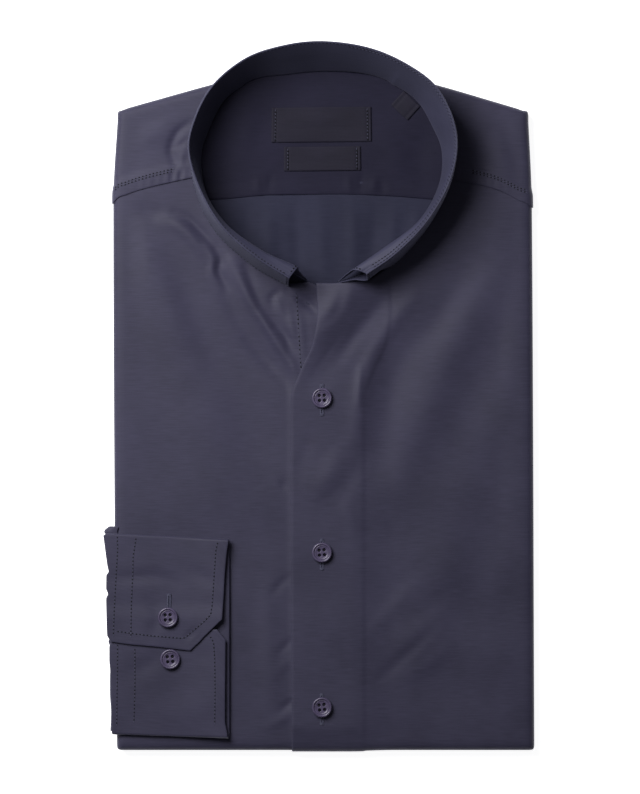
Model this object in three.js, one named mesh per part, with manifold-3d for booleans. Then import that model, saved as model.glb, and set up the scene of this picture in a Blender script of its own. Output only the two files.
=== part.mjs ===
// A navy shirt with a short stand collar, folded flat for the shelf with its front up.
// Millimetres: +X is to the right seen from above, +Y points to the collar and +Z is up.
// The origin is on the surface that the shirt lies on, under the middle of its outline.
import * as THREE from 'three';
import { mergeVertices } from 'three/addons/utils/BufferGeometryUtils.js';
import Module from 'manifold-3d';

const wasm = await Module();
wasm.setup();
const { clamp, lerp, smoothstep } = THREE.MathUtils;

// Cloth and the folded stack
const clothWall = 1.2;
const cuffWall = 1;
const seamGap = 0.3;
const stackHeight = 11;
const coreRound = 5;
const foldRadius = coreRound + seamGap + clothWall;
const wrapAngle = THREE.MathUtils.degToRad(100);
const wrapLength = foldRadius * wrapAngle;
const cornerPower = 4;

// Outline of the folded body seen from above: its straight sides, and how they wander
const leftSide = -116.5;
const rightSide = 121.3;
const hem = -202.3;
const leftWander = [{ y: -202, x: 0.7 }, { y: -77, x: -0.7 }, { y: 109, x: -1.5 }, { y: 163, x: 1.3 }];
const rightWander = [{ y: -202, x: 1 }, { y: 107, x: -0.4 }, { y: 163, x: -2.7 }];
const shoulderLine = [
  { x: -116, y: 162.6 }, { x: -62, y: 177.5 }, { x: -30, y: 185.5 }, { x: 0, y: 188 },
  { x: 33, y: 185.5 }, { x: 67, y: 177.5 }, { x: 119, y: 162.6 },
];
const flatLeft = leftSide + foldRadius;
const flatRight = rightSide - foldRadius;
const flatHem = hem + foldRadius;

// Edge of the hidden layers below the front's turned edge: two more rounded folds
const rim = [
  { out: 5.5, up: 4.6 }, { out: 6.3, up: 4.1 }, { out: 6.5, up: 3.5 }, { out: 6.2, up: 2.8 },
  { out: 5.1, up: 2.35 }, { out: 6.1, up: 1.9 }, { out: 6.4, up: 1.2 }, { out: 6, up: 0.5 },
  { out: 5.2, up: 0 },
];

// Where the cloth inside the neck lies lower than the fronts
const neckBed = { middle: 1, halfWidth: 78, from: 46, ramp: 6 };

// Seams of the yoke: outside on each shoulder, and inside below the labels
const yokeSeamLeft = [
  { x: -116.5, y: 109.5 }, { x: -110.3, y: 114 }, { x: -96.6, y: 118.6 }, { x: -73, y: 124.1 },
];
const yokeSeamRight = [{ x: 80, y: 122.9 }, { x: 100, y: 118 }, { x: 121.3, y: 107.3 }];
const seamStart = 3;
const yokeFlare = 0.07;
const insideSeam = [
  { x: -76, y: 111.5 }, { x: -56.6, y: 112.1 }, { x: -25.3, y: 114.6 }, { x: 12.9, y: 114.9 },
  { x: 40, y: 114 }, { x: 65.2, y: 112.1 }, { x: 78, y: 111.5 },
];
const insideTop = [
  { x: -76, y: 152 }, { x: -62, y: 164 }, { x: -50, y: 171.5 }, { x: -30, y: 178.5 }, { x: 0, y: 182 },
  { x: 33, y: 178.5 }, { x: 52, y: 171.5 }, { x: 66, y: 164 }, { x: 78, y: 152 },
];

// The collar, section by section from one front end round the back to the other. x, y and up
// are its top edge. inward and outward are how far the foot of the turned-in leaf and of the
// stand lie from it, and leafSlip and standSlip how far each foot is ahead of it.
const collarSections = [
  { x: -17.9, y: 66.8, up: 38, inward: 8, leafSlip: -1, outward: 4, standSlip: -2.6 },
  { x: -36.3, y: 78.8, up: 40, inward: 7.5, leafSlip: 0, outward: 4.5, standSlip: -1 },
  { x: -56, y: 95.2, up: 42, inward: 7, leafSlip: 0, outward: 4.5, standSlip: 0 },
  { x: -68.6, y: 114, up: 43, inward: 7, leafSlip: 0, outward: 4, standSlip: 0 },
  { x: -74.5, y: 137, up: 44, inward: 7, leafSlip: 0, outward: 2.5, standSlip: 0 },
  { x: -72.5, y: 155, up: 44, inward: 8, leafSlip: 0, outward: -0.5, standSlip: 0 },
  { x: -62.5, y: 176.1, up: 43, inward: 11, leafSlip: 0, outward: -7, standSlip: 0 },
  { x: -42.9, y: 191.7, up: 42, inward: 15.5, leafSlip: 0, outward: -12.5, standSlip: 0 },
  { x: -20, y: 200.3, up: 41, inward: 19, leafSlip: 0, outward: -16, standSlip: 0 },
  { x: 3.1, y: 202.9, up: 40.5, inward: 20.5, leafSlip: 0, outward: -17.5, standSlip: 0 },
  { x: 29.3, y: 199.1, up: 41, inward: 19, leafSlip: 0, outward: -16, standSlip: 0 },
  { x: 51.2, y: 190.3, up: 42, inward: 15.5, leafSlip: 0, outward: -12.5, standSlip: 0 },
  { x: 67, y: 177.2, up: 43, inward: 11.5, leafSlip: 0, outward: -7.5, standSlip: 0 },
  { x: 76, y: 158, up: 44, inward: 8, leafSlip: 0, outward: -1, standSlip: 0 },
  { x: 78.2, y: 140, up: 44, inward: 8, leafSlip: 0, outward: 2, standSlip: 0 },
  { x: 74.5, y: 119.5, up: 43, inward: 8, leafSlip: 0, outward: 3.5, standSlip: 0 },
  { x: 64, y: 98.5, up: 42, inward: 8, leafSlip: 0, outward: 4.5, standSlip: 0 },
  { x: 46.5, y: 80.8, up: 40, inward: 7.5, leafSlip: 2, outward: 5, standSlip: 3 },
  { x: 26.9, y: 68.9, up: 36, inward: 5.5, leafSlip: 14, outward: -1, standSlip: 15 },
];
const collarSteps = 36;
const collarRows = 4;
const collarBow = 1.2;
const footLevel = 1;
const neckClearance = 1;

// Front edges: the folded placket edge, and the edge of the front that lies below it
const placketEdge = [
  { y: -202.3, x: -16.3 }, { y: -2.6, x: -15.6 }, { y: 15, x: -9.7 }, { y: 30, x: -2.9 },
  { y: 48, x: -0.4 }, { y: 64.3, x: -1.1 },
];
const placketTop = { left: -1.1, right: 8.5, y: 63.6 };
const underEdge = 14;
const overlapLift = clothWall + seamGap + 0.3;
const overlapRamp = { from: 20, to: 30 };
const placketWidth = 34;
const placketExtra = 0.6;

// The largest folds: soft ridges from one point to another, with their rise and half width
const rightFrontFolds = [
  { x0: -80, y0: 104, x1: -56, y1: 70, rise: 1.1, wide: 5 },
  { x0: -42, y0: 76, x1: -19, y1: 12, rise: 1.3, wide: 5 },
  { x0: -100, y0: 95, x1: -75, y1: 20, rise: 0.8, wide: 16 },
  { x0: -85, y0: -10, x1: -45, y1: -60, rise: 0.8, wide: 20 },
  { x0: -30, y0: -110, x1: -28, y1: -185, rise: 0.6, wide: 7 },
];
const leftFrontFolds = [
  { x0: 42, y0: 62, x1: 33, y1: 20, rise: 1.3, wide: 7 },
  { x0: 64, y0: 72, x1: 52, y1: 10, rise: 1.1, wide: 10 },
  { x0: 24, y0: 14, x1: 22, y1: -10, rise: 0.9, wide: 4 },
  { x0: 92, y0: 88, x1: 84, y1: -20, rise: 1, wide: 16 },
  { x0: 90, y0: -60, x1: 40, y1: -160, rise: 0.9, wide: 18 },
];
const shoulderFolds = [
  { x0: -86, y0: 146, x1: -98, y1: 126, rise: 1, wide: 6 },
  { x0: 96, y0: 150, x1: 104, y1: 122, rise: 0.8, wide: 9 },
];
const backFoldPlaces = [-54, -34, -20, -6, 10, 26, 38, 50];
const insideBackFolds = backFoldPlaces.map((x, k) => ({
  x0: x, y0: 108, x1: x + (k % 2 ? 2 : -2), y1: 86, rise: k % 2 ? 0.8 : 1.1, wide: 3.4,
}));

// The flattened cuff: its left side, its right side and its two free ends
const cuffLevel = stackHeight + seamGap + clothWall + 0.5;
const cuffFolds = { top: -79.3, bottom: -194.4 };
const cuffLeft = [{ y: -194.4, x: -117.9 }, { y: -140, x: -120 }, { y: -79.3, x: -117.9 }];
const cuffRight = [{ y: -194.4, x: -53.1 }, { y: -139, x: -54.2 }, { y: -79.3, x: -52.3 }];
const overEnd = [{ part: 0, y: -139.4 }, { part: 0.7, y: -144.2 }, { part: 1, y: -127.5 }];
const underEnd = [{ part: 0, y: -131 }, { part: 0.93, y: -132.3 }, { part: 1, y: -138.9 }];
const cuffAcross = [0, 0.35, 0.7, 0.85, 1];

// The sleeve from the cuff round the side, seen along Y, and its pleats and slit
const sleeveWall = 1.6;
const sleeveStart = { gap: 0.9, up: 2.2 };
const sleeveEnds = { top: -75.5, bottom: -192.3 };
const sleeveTurn = [
  { x: -121.8, z: 14.6 }, { x: -123.2, z: 13 }, { x: -123.7, z: 10 }, { x: -123.6, z: 6.5 },
  { x: -122.8, z: 3.4 }, { x: -121.3, z: 1.4 }, { x: -119.6, z: 0.4 },
];
const sleeveNotches = [{ y: -101, deep: 0.9 }, { y: -114, deep: 1.1 }, { y: -140.3, deep: 1.8 }];
const notchWidth = 2.4;

// Buttons, labels and their places
const button = { radius: 5.72, height: 2.4, holeRadius: 0.85, holeReach: 1.35, sides: 16 };
const frontButtons = [{ x: 1.1, y: -1.4 }, { x: 1.1, y: -89.4 }, { x: 1.1, y: -177.5 }];
const cuffButtons = [
  { x: -86.6, y: -126.3, level: cuffLevel + 3 * cuffWall + 2 * seamGap },
  { x: -85.3, y: -150.1, level: cuffLevel + 2 * cuffWall + seamGap },
];
const labelWall = 1;
const labels = [
  { name: 'label_main', x: 1.5, y: 154.4, width: 57.2, depth: 19.4, turn: 0.01 },
  { name: 'label_second', x: 2.2, y: 135, width: 43.4, depth: 13.4, turn: 0.01 },
  { name: 'label_size', x: 50.3, y: 165.2, width: 12.6, depth: 10.6, turn: -0.75 },
];

// Materials
const clothColour = 0x2e2f45;
const poplin = new THREE.MeshStandardMaterial({ color: clothColour, roughness: 0.7, metalness: 0 });
const insidePoplin = new THREE.MeshStandardMaterial({ color: 0x292b40, roughness: 0.75, metalness: 0 });
const tape = new THREE.MeshStandardMaterial({ color: 0x2f2d38, roughness: 0.8, metalness: 0 });
const resin = new THREE.MeshStandardMaterial({ color: 0x33304e, roughness: 0.3, metalness: 0 });

const shirt = new THREE.Group();

// Reads one column of a table at a value of another, in straight steps
function read(rows, from, to, value) {
  const last = rows.length - 1;
  let k = 0;
  while (k < last - 1 && rows[k + 1][from] < value) k += 1;
  const part = (value - rows[k][from]) / (rows[k + 1][from] - rows[k][from]);
  return lerp(rows[k][to], rows[k + 1][to], clamp(part, 0, 1));
}

// Reads one column of the collar's table at a place from 0 to 1, as a smooth curve
function collarValue(column, place) {
  const last = collarSections.length - 1;
  const k = clamp(Math.floor(place * last), 0, last - 1);
  const at = (index) => {
    if (index < 0) return 2 * collarSections[0][column] - collarSections[1][column];
    if (index > last) return 2 * collarSections[last][column] - collarSections[last - 1][column];
    return collarSections[index][column];
  };
  const part = place * last - k;
  const curve = new THREE.CubicBezierCurve3(
    new THREE.Vector3(at(k)),
    new THREE.Vector3(at(k) + (at(k + 1) - at(k - 1)) / 6),
    new THREE.Vector3(at(k + 1) - (at(k + 2) - at(k)) / 6),
    new THREE.Vector3(at(k + 1)),
  );
  return curve.getPoint(part).x;
}

// Numbers from one value to another in equal steps, both ends included
function steps(from, to, count) {
  return Array.from({ length: count + 1 }, (_, k) => lerp(from, to, k / count));
}

// The spot on the flat part that a laid-out point belongs to, and its way past the edge
function foot(u, v) {
  const x = clamp(u, flatLeft, flatRight);
  const flatTop = read(shoulderLine, 'x', 'y', x) - foldRadius;
  const y = clamp(v, flatHem, flatTop);
  const past = (Math.abs(u - x) ** cornerPower + Math.abs(v - y) ** cornerPower) ** (1 / cornerPower);
  const across = (x - flatLeft) / (flatRight - flatLeft);
  const wander = lerp(read(leftWander, 'y', 'x', y), read(rightWander, 'y', 'x', y), across);
  const toX = past > 0 ? (u - x) / past : 0;
  const toY = past > 0 ? (v - y) / past : 0;
  return { x: x + wander, y, past, toX, toY };
}

// A point of cloth laid on the stack and turned down round its edges, a height above it
function lie(u, v, above) {
  const spot = foot(u, v);
  const turn = Math.min(spot.past, wrapLength) / foldRadius;
  const round = coreRound + above;
  const out = round * Math.sin(turn);
  const up = stackHeight - coreRound + round * Math.cos(turn);
  return new THREE.Vector3(spot.x + out * spot.toX, spot.y + out * spot.toY, up);
}

// How high the folds in a table lift the cloth at a place
function foldRise(folds, x, y) {
  let rise = 0;
  for (const fold of folds) {
    const runX = fold.x1 - fold.x0;
    const runY = fold.y1 - fold.y0;
    const part = clamp(((x - fold.x0) * runX + (y - fold.y0) * runY) / (runX ** 2 + runY ** 2), 0, 1);
    const away = Math.hypot(x - fold.x0 - part * runX, y - fold.y0 - part * runY);
    rise += fold.rise * Math.exp(-((away / fold.wide) ** 2));
  }
  return rise;
}

// Closes two grids of points, an upper and a lower one, into one solid facing outward
function closedWall(upper, lower) {
  const rows = upper.length;
  const columns = upper[0].length;
  const points = [...upper.flat(), ...lower.flat()];
  const index = [];
  const quad = (a, b, c, d) => index.push(a, b, c, a, c, d);
  const top = (row, column) => row * columns + column;
  const below = (row, column) => rows * columns + top(row, column);
  for (let row = 0; row < rows - 1; row += 1) {
    for (let column = 0; column < columns - 1; column += 1) {
      quad(top(row, column), top(row, column + 1), top(row + 1, column + 1), top(row + 1, column));
      quad(below(row, column), below(row + 1, column), below(row + 1, column + 1), below(row, column + 1));
    }
    quad(top(row, 0), top(row + 1, 0), below(row + 1, 0), below(row, 0));
    const end = columns - 1;
    quad(top(row + 1, end), top(row, end), below(row, end), below(row + 1, end));
  }
  for (let column = 0; column < columns - 1; column += 1) {
    quad(top(0, column + 1), top(0, column), below(0, column), below(0, column + 1));
    const end = rows - 1;
    quad(top(end, column), top(end, column + 1), below(end, column + 1), below(end, column));
  }
  return facingOut(points, index);
}

// A geometry from points and triangles, turned so that its faces point outward
function facingOut(points, index) {
  let volume = 0;
  for (let k = 0; k < index.length; k += 3) {
    const [a, b, c] = [points[index[k]], points[index[k + 1]], points[index[k + 2]]];
    volume += a.dot(new THREE.Vector3().crossVectors(b, c));
  }
  const ordered = volume > 0 ? index : index.map((_, k) => index[k - (k % 3) + 2 - (k % 3)]);
  const geometry = new THREE.BufferGeometry().setFromPoints(points);
  geometry.setIndex(ordered);
  return geometry;
}

function addPiece(name, geometry, material) {
  geometry.computeVertexNormals();
  const mesh = new THREE.Mesh(geometry, material);
  mesh.name = name;
  shirt.add(mesh);
  return mesh;
}

// A wall laid on the stack: plan holds rows of laid-out points, each with its own level
function addLaid(name, plan, thickness, material) {
  const upper = plan.map((row) => row.map((p) => lie(p.u, p.v, p.level + thickness + (p.extra ?? 0))));
  const lower = plan.map((row) => row.map((p) => lie(p.u, p.v, p.level)));
  addPiece(name, closedWall(upper, lower), material);
}

// One section of the collar: its top edge and the feet of the leaf and of the stand
function collarSection(place) {
  const small = 0.002;
  const before = Math.max(place - small, 0);
  const after = Math.min(place + small, 1);
  const ahead = new THREE.Vector2(
    collarValue('x', after) - collarValue('x', before),
    collarValue('y', after) - collarValue('y', before),
  ).normalize();
  const outward = new THREE.Vector2(-ahead.y, ahead.x);
  const edge = new THREE.Vector2(collarValue('x', place), collarValue('y', place));
  const footOf = (out, slip) => edge.clone().addScaledVector(outward, out).addScaledVector(ahead, slip);
  const leaf = footOf(-collarValue('inward', place), collarValue('leafSlip', place));
  const stand = footOf(collarValue('outward', place), collarValue('standSlip', place));
  return { edge, up: collarValue('up', place), outward, leaf, stand };
}

// A point of the neck seam, moved away from the collar by the seam's gap
function neckPoint(place) {
  const section = collarSection(place);
  const rise = section.up - stackHeight;
  const lean = Math.max(0, section.edge.clone().sub(section.stand).dot(section.outward)) / rise;
  const away = clothWall / 2 + neckClearance + lean * (clothWall + seamGap);
  const spot = section.stand.clone().addScaledVector(section.outward, away);
  return { u: spot.x, v: spot.y };
}

// The neck seam between two places, with a point at each section that the collar has there
function neckRun(from, to) {
  const low = Math.min(from, to);
  const high = Math.max(from, to);
  const between = steps(0, 1, collarSteps).filter((place) => place > low + 0.006 && place < high - 0.006);
  const places = [low, ...between, high];
  return (from < to ? places : places.toReversed()).map(neckPoint);
}

// Where the neck seam crosses a height on the page, searched between two places
function neckPlace(from, to, height) {
  let low = from;
  let high = to;
  const rises = neckPoint(to).v > neckPoint(from).v;
  for (let k = 0; k < 30; k += 1) {
    const middle = (low + high) / 2;
    if (neckPoint(middle).v < height === rises) low = middle;
    else high = middle;
  }
  return (low + high) / 2;
}

const leftMeeting = neckPlace(0.02, 0.35, read(yokeSeamLeft, 'x', 'y', -73));
const rightMeeting = neckPlace(0.95, 0.65, read(yokeSeamRight, 'x', 'y', 80));

// Points of a yoke seam between two distances, moved along Y
function seamPoints(seam, from, to, count, shift) {
  return steps(from, to, count).map((x) => ({ u: x, v: read(seam, 'x', 'y', x) + shift }));
}

// Laid-out columns round a side, from the turned edge to the flat part
function sideColumns(side, height) {
  const away = Math.sign(side);
  const flat = away < 0 ? flatLeft : flatRight;
  return steps(wrapLength, 0, 4).slice(0, -1).map((past) => ({ u: flat + away * past, v: height }));
}

// Rows of a front from its turned hem up to its top edge, one column under each top point
function frontRows(top, columnFoot, levelAt) {
  const climb = steps(0, 1, 13).slice(1);
  const turned = steps(wrapLength, 0, 4).map((past) => ({ past, part: 0 }));
  const rows = [...turned, ...climb.map((part) => ({ past: 0, part }))];
  return rows.map(({ past, part }) => top.map((end, k) => {
    const v = lerp(flatHem, end.v, part) - past;
    const u = columnFoot(k, end, part, v);
    return { u, v, ...levelAt(u, v) };
  }));
}

// Fades folds out near the turned edges
function edgeFade(u, v) {
  const near = Math.min(u - flatLeft, flatRight - u, v - flatHem);
  return smoothstep(near, 0, 16);
}

// The hidden layers: back, tails and sleeves, one rounded solid with folds round its edge
function addHiddenLayers() {
  const level = (u, v) => {
    const away = Math.abs(u - neckBed.middle);
    const inX = 1 - smoothstep(away, neckBed.halfWidth, neckBed.halfWidth + neckBed.ramp);
    const inY = smoothstep(v, neckBed.from - neckBed.ramp, neckBed.from);
    return -(clothWall + seamGap) * inX * inY;
  };
  const turned = steps(wrapLength, 0, 4);
  const inner = neckBed.halfWidth;
  const columns = [
    ...turned.map((past) => flatLeft - past),
    neckBed.middle - inner - neckBed.ramp, neckBed.middle - inner,
    ...shoulderLine.slice(1, -1).map((bend) => bend.x),
    neckBed.middle + inner, neckBed.middle + inner + neckBed.ramp,
    ...turned.toReversed().map((past) => flatRight + past),
  ];
  const flatTop = (u) => read(shoulderLine, 'x', 'y', clamp(u, flatLeft, flatRight)) - foldRadius;
  const rowHeights = (u) => [
    ...turned.map((past) => flatHem - past),
    ...steps(flatHem, neckBed.from - neckBed.ramp, 5).slice(1),
    ...steps(neckBed.from, flatTop(u), 4),
    ...turned.toReversed().slice(1).map((past) => flatTop(u) + past),
  ];
  const heights = columns.map(rowHeights);
  const rowCount = heights[0].length;
  const spots = (row) => columns.map((u, k) => ({ u, v: heights[k][row] }));
  const plan = Array.from({ length: rowCount }, (_, row) => spots(row));
  const points = plan.flat().map((p) => lie(p.u, p.v, level(p.u, p.v)));
  const width = columns.length;
  const index = [];
  for (let row = 0; row < rowCount - 1; row += 1) {
    for (let column = 0; column < width - 1; column += 1) {
      const a = row * width + column;
      index.push(a, a + 1, a + width + 1, a, a + width + 1, a + width);
    }
  }
  const border = [];
  for (let column = 0; column < width - 1; column += 1) border.push(column);
  for (let row = 0; row < rowCount - 1; row += 1) border.push(row * width + width - 1);
  for (let column = width - 1; column > 0; column -= 1) border.push((rowCount - 1) * width + column);
  for (let row = rowCount - 1; row > 0; row -= 1) border.push(row * width);
  const flatPlan = plan.flat();
  let ring = border;
  for (const step of rim) {
    const next = border.map((spotIndex) => {
      const spot = foot(flatPlan[spotIndex].u, flatPlan[spotIndex].v);
      points.push(new THREE.Vector3(spot.x + step.out * spot.toX, spot.y + step.out * spot.toY, step.up));
      return points.length - 1;
    });
    ring.forEach((a, k) => {
      const b = ring[(k + 1) % ring.length];
      const c = next[(k + 1) % next.length];
      index.push(a, next[k], c, a, c, b);
    });
    ring = next;
  }
  const outline = ring.map((k) => new THREE.Vector2(points[k].x, points[k].y));
  for (const [a, b, c] of THREE.ShapeUtils.triangulateShape(outline, [])) {
    index.push(ring[a], ring[c], ring[b]);
  }
  addPiece('folded_layers', facingOut(points, index), poplin);
}

// The front with the buttons, which runs on under the placket
function addRightFront() {
  const outside = sideColumns(leftSide, yokeSeamLeft[0].y - seamGap);
  const neck = neckRun(leftMeeting, 0);
  const seam = seamPoints(yokeSeamLeft, flatLeft, neck[0].u - seamStart, 5, -seamGap / 2);
  neck[0].v -= seamGap / 2;
  const under = steps(-14, underEdge, 3).map((u) => ({ u, v: placketTop.y - 3 }));
  const top = [...outside, ...seam, ...neck, ...under];
  const last = top.length - 1;
  const first = outside.length;
  const columnFoot = (k, end, part) => {
    if (k < first) return end.u;
    const footX = lerp(flatLeft, underEdge, (k - first) / (last - first));
    return lerp(footX, end.u, part);
  };
  const levelAt = (u, v) => {
    const clear = 1 - smoothstep(u, -26, -17);
    return { level: seamGap + clear * edgeFade(u, v) * foldRise(rightFrontFolds, u, v) };
  };
  addLaid('front_right', frontRows(top, columnFoot, levelAt), clothWall, poplin);
}

// The front with the folded placket, which lies over the other one
function addLeftFront() {
  const placket = steps(placketTop.left, placketTop.right, 2).map((u) => ({ u, v: placketTop.y }));
  const neck = neckRun(1, rightMeeting);
  neck.at(-1).v -= seamGap / 2;
  const seam = seamPoints(yokeSeamRight, neck.at(-1).u + seamStart, flatRight, 5, -seamGap / 2);
  const outside = sideColumns(rightSide, yokeSeamRight.at(-1).y - seamGap).toReversed();
  const top = [...placket, ...neck, ...seam, ...outside];
  const last = top.length - 1 - outside.length;
  const columnFoot = (k, end, part, v) => {
    if (k > last) return end.u;
    const across = k / last;
    const footX = lerp(placketEdge[0].x, flatRight, across);
    const straight = lerp(placketEdge[0].x, placketTop.left, part);
    const bend = read(placketEdge, 'y', 'x', v) - straight;
    return lerp(footX, end.u, part) + bend * (1 - across) ** 3;
  };
  const levelAt = (u, v) => {
    const lift = overlapLift * (1 - smoothstep(u, overlapRamp.from, overlapRamp.to));
    const clear = smoothstep(u, underEdge, overlapRamp.from);
    const edge = read(placketEdge, 'y', 'x', v);
    const extra = placketExtra * (1 - smoothstep(u, edge + placketWidth - 4, edge + placketWidth));
    return { level: seamGap + lift + clear * edgeFade(u, v) * foldRise(leftFrontFolds, u, v), extra };
  };
  addLaid('front_left', frontRows(top, columnFoot, levelAt), clothWall, poplin);
}

// The outer yoke: both shoulders and the strip behind the neck, turned down over the top fold
function addYoke() {
  const leftEnd = sideColumns(leftSide, yokeSeamLeft[0].y + seamGap);
  const neck = neckRun(leftMeeting, rightMeeting);
  const leftSeam = seamPoints(yokeSeamLeft, flatLeft, neck[0].u - seamStart, 5, seamGap / 2);
  const rightSeam = seamPoints(yokeSeamRight, neck.at(-1).u + seamStart, flatRight, 5, seamGap / 2);
  const rightEnd = sideColumns(rightSide, yokeSeamRight.at(-1).y + seamGap).toReversed();
  neck[0].v += seamGap / 2;
  neck.at(-1).v += seamGap / 2;
  const near = [...leftEnd, ...leftSeam, ...neck, ...rightSeam, ...rightEnd];
  const last = near.length - 1;
  const farX = (k) => {
    if (k < leftEnd.length) return near[k].u;
    if (k > last - rightEnd.length) return near[k].u;
    const part = (k - leftEnd.length) / (last - leftEnd.length - rightEnd.length);
    const straight = lerp(near[k].u, lerp(flatLeft, flatRight, part), 0.25);
    return straight * (1 + yokeFlare * (1 - smoothstep(Math.abs(straight), -flatLeft - 30, -flatLeft)));
  };
  const climb = [0, 0.2, 0.4, 0.6, 0.79, 0.85, 0.9, 0.95, 1];
  const rows = climb.map((part) => near.map((start, k) => {
    const u = lerp(start.u, farX(k), part);
    const flatTop = read(shoulderLine, 'x', 'y', clamp(farX(k), flatLeft, flatRight)) - foldRadius;
    const v = lerp(start.v, flatTop + wrapLength, part);
    const fade = smoothstep(flatTop - v, 0, 8) * smoothstep(Math.min(u - flatLeft, flatRight - u), 0, 12);
    return { u, v, level: seamGap + fade * foldRise(shoulderFolds, u, v) };
  }));
  addLaid('yoke', rows, clothWall, poplin);
}

// The cloth seen inside the neck: the yoke's inner face with the labels, and the back below
function addInside() {
  const bedLevel = -clothWall;
  const halfWidth = neckBed.halfWidth - 2;
  const bends = insideTop.slice(1, -1).map(({ x }) => x);
  const columns = [neckBed.middle - halfWidth, ...bends, neckBed.middle + halfWidth];
  const upperRows = [0, 0.25, 0.5, 0.75, 0.9, 1].map((part) => columns.map((u) => {
    const seam = read(insideSeam, 'x', 'y', u) + seamGap / 2;
    const far = read(insideTop, 'x', 'y', u);
    return { u, v: lerp(seam, far, part), level: bedLevel };
  }));
  addLaid('yoke_inside', upperRows, clothWall, insidePoplin);
  const backColumns = steps(neckBed.middle - halfWidth, neckBed.middle + halfWidth, 32);
  const lowerRows = [0, 0.4, 0.66, 0.85, 1].map((part) => backColumns.map((u) => {
    const seam = read(insideSeam, 'x', 'y', u) - seamGap / 2;
    const v = lerp(neckBed.from + 2, seam, part);
    const inside = Math.hypot((u - 1) / 62, (v - 116) / 42);
    const open = 1 - smoothstep(inside, 0.8, 1);
    return { u, v, level: bedLevel, extra: open * foldRise(insideBackFolds, u, v) };
  }));
  addLaid('back_panel', lowerRows, clothWall, insidePoplin);
}

// One ply of the collar from a foot up to the top edge, bowed a little outward
function collarPly(side) {
  const rows = [];
  for (const place of steps(0, 1, collarSteps)) {
    const section = collarSection(place);
    const spot = side === 'leaf' ? section.leaf : section.stand;
    const away = side === 'leaf' ? -1 : 1;
    const start = lie(spot.x, spot.y, footLevel);
    const topShift = away * (clothWall + seamGap) / 2;
    const end = new THREE.Vector3(
      section.edge.x + section.outward.x * topShift,
      section.edge.y + section.outward.y * topShift,
      section.up - (side === 'leaf' ? 0 : seamGap),
    );
    const outward = new THREE.Vector3(section.outward.x, section.outward.y, 0);
    rows.push({ start, end, outward });
  }
  const surface = (shift) => rows.map(({ start, end, outward }) => steps(0, 1, collarRows).map((part) => {
    const climb = end.clone().sub(start).normalize();
    const across = outward.clone().addScaledVector(climb, -outward.dot(climb)).normalize();
    const bow = collarBow * Math.sin(Math.PI * part);
    return start.clone().lerp(end, part).addScaledVector(across, bow + shift);
  }));
  return closedWall(surface(clothWall / 2), surface(-clothWall / 2));
}

// The cuff, pressed flat: one band from its under end, round the back layer, to its over end
function addCuff() {
  const step = cuffWall + seamGap;
  const backZ = cuffLevel + cuffWall / 2;
  const underZ = backZ + step;
  const overZ = backZ + 2 * step;
  const restZ = backZ + 1.3 * step;
  const halfTurn = (z0, z1, edge, away) => steps(0, Math.PI, 4).map((angle) => ({
    z: (z0 + z1) / 2 - Math.cos(angle) * (z1 - z0) / 2,
    y: edge - away * (z1 - z0) / 2 + away * Math.sin(angle) * (z1 - z0) / 2,
    normalZ: Math.cos(angle), normalY: -away * Math.sin(angle),
  }));
  const path = (part) => {
    const underY = read(underEnd, 'part', 'y', part);
    const overY = read(overEnd, 'part', 'y', part);
    const under = [0, 0.35, 0.7, 0.95].map((run) => (
      { z: underZ, y: lerp(underY, cuffFolds.bottom, run), normalZ: -1, normalY: 0 }));
    const bottom = halfTurn(backZ, underZ, cuffFolds.bottom, -1).toReversed();
    const back = [0.15, 0.5, 0.85].map((run) => (
      { z: backZ, y: lerp(cuffFolds.bottom, cuffFolds.top, run), normalZ: 1, normalY: 0 }));
    const top = halfTurn(backZ, restZ, cuffFolds.top, 1);
    const over = [0.1, 0.35, 0.6, 0.75, 0.85, 0.93, 1].map((run) => {
      const y = lerp(cuffFolds.top, overY, run);
      const lifted = smoothstep(-y, -underEnd[0].y - 12, -underEnd[0].y - 3);
      return { z: lerp(restZ, overZ, lifted), y, normalZ: -1, normalY: 0 };
    });
    return [...under, ...bottom, ...back, ...top, ...over];
  };
  const surface = (shift) => cuffAcross.map((part) => path(part).map((p) => {
    const y = p.y + p.normalY * shift;
    const left = read(cuffLeft, 'y', 'x', y);
    const right = read(cuffRight, 'y', 'x', y);
    return new THREE.Vector3(lerp(left, right, part), y, p.z + p.normalZ * shift);
  }));
  addPiece('cuff', closedWall(surface(cuffWall / 2), surface(-cuffWall / 2)), poplin);
}

// The end of the sleeve, which comes from behind round the side into the cuff
function addSleeve() {
  const heights = steps(sleeveEnds.bottom, sleeveEnds.top, 18);
  const inward = new THREE.Vector2(0, -sleeveWall);
  const outer = [];
  const inner = [];
  for (const y of heights) {
    let notch = 0;
    for (const { y: at, deep } of sleeveNotches) notch += deep * Math.exp(-(((y - at) / notchWidth) ** 2));
    const first = { x: read(cuffLeft, 'y', 'x', y) - sleeveStart.gap, z: cuffLevel + sleeveStart.up };
    const rest = sleeveTurn.map(({ x, z }, k) => ({ x: x + notch * clamp((k - 1) / 2, 0, 1), z }));
    const section = [first, ...rest];
    outer.push(section.map(({ x, z }) => new THREE.Vector3(x, y, z)));
    inner.push(section.map(({ x, z }, k) => {
      const before = section[Math.max(k - 1, 0)];
      const after = section[Math.min(k + 1, section.length - 1)];
      const angle = k === 0 ? 0 : Math.atan2(after.z - before.z, after.x - before.x) + Math.PI;
      const move = inward.clone().rotateAround(new THREE.Vector2(), angle);
      return new THREE.Vector3(x + move.x, y, Math.max(z + move.y, 0.3));
    }));
  }
  addPiece('sleeve', closedWall(outer, inner), poplin);
}

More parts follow.
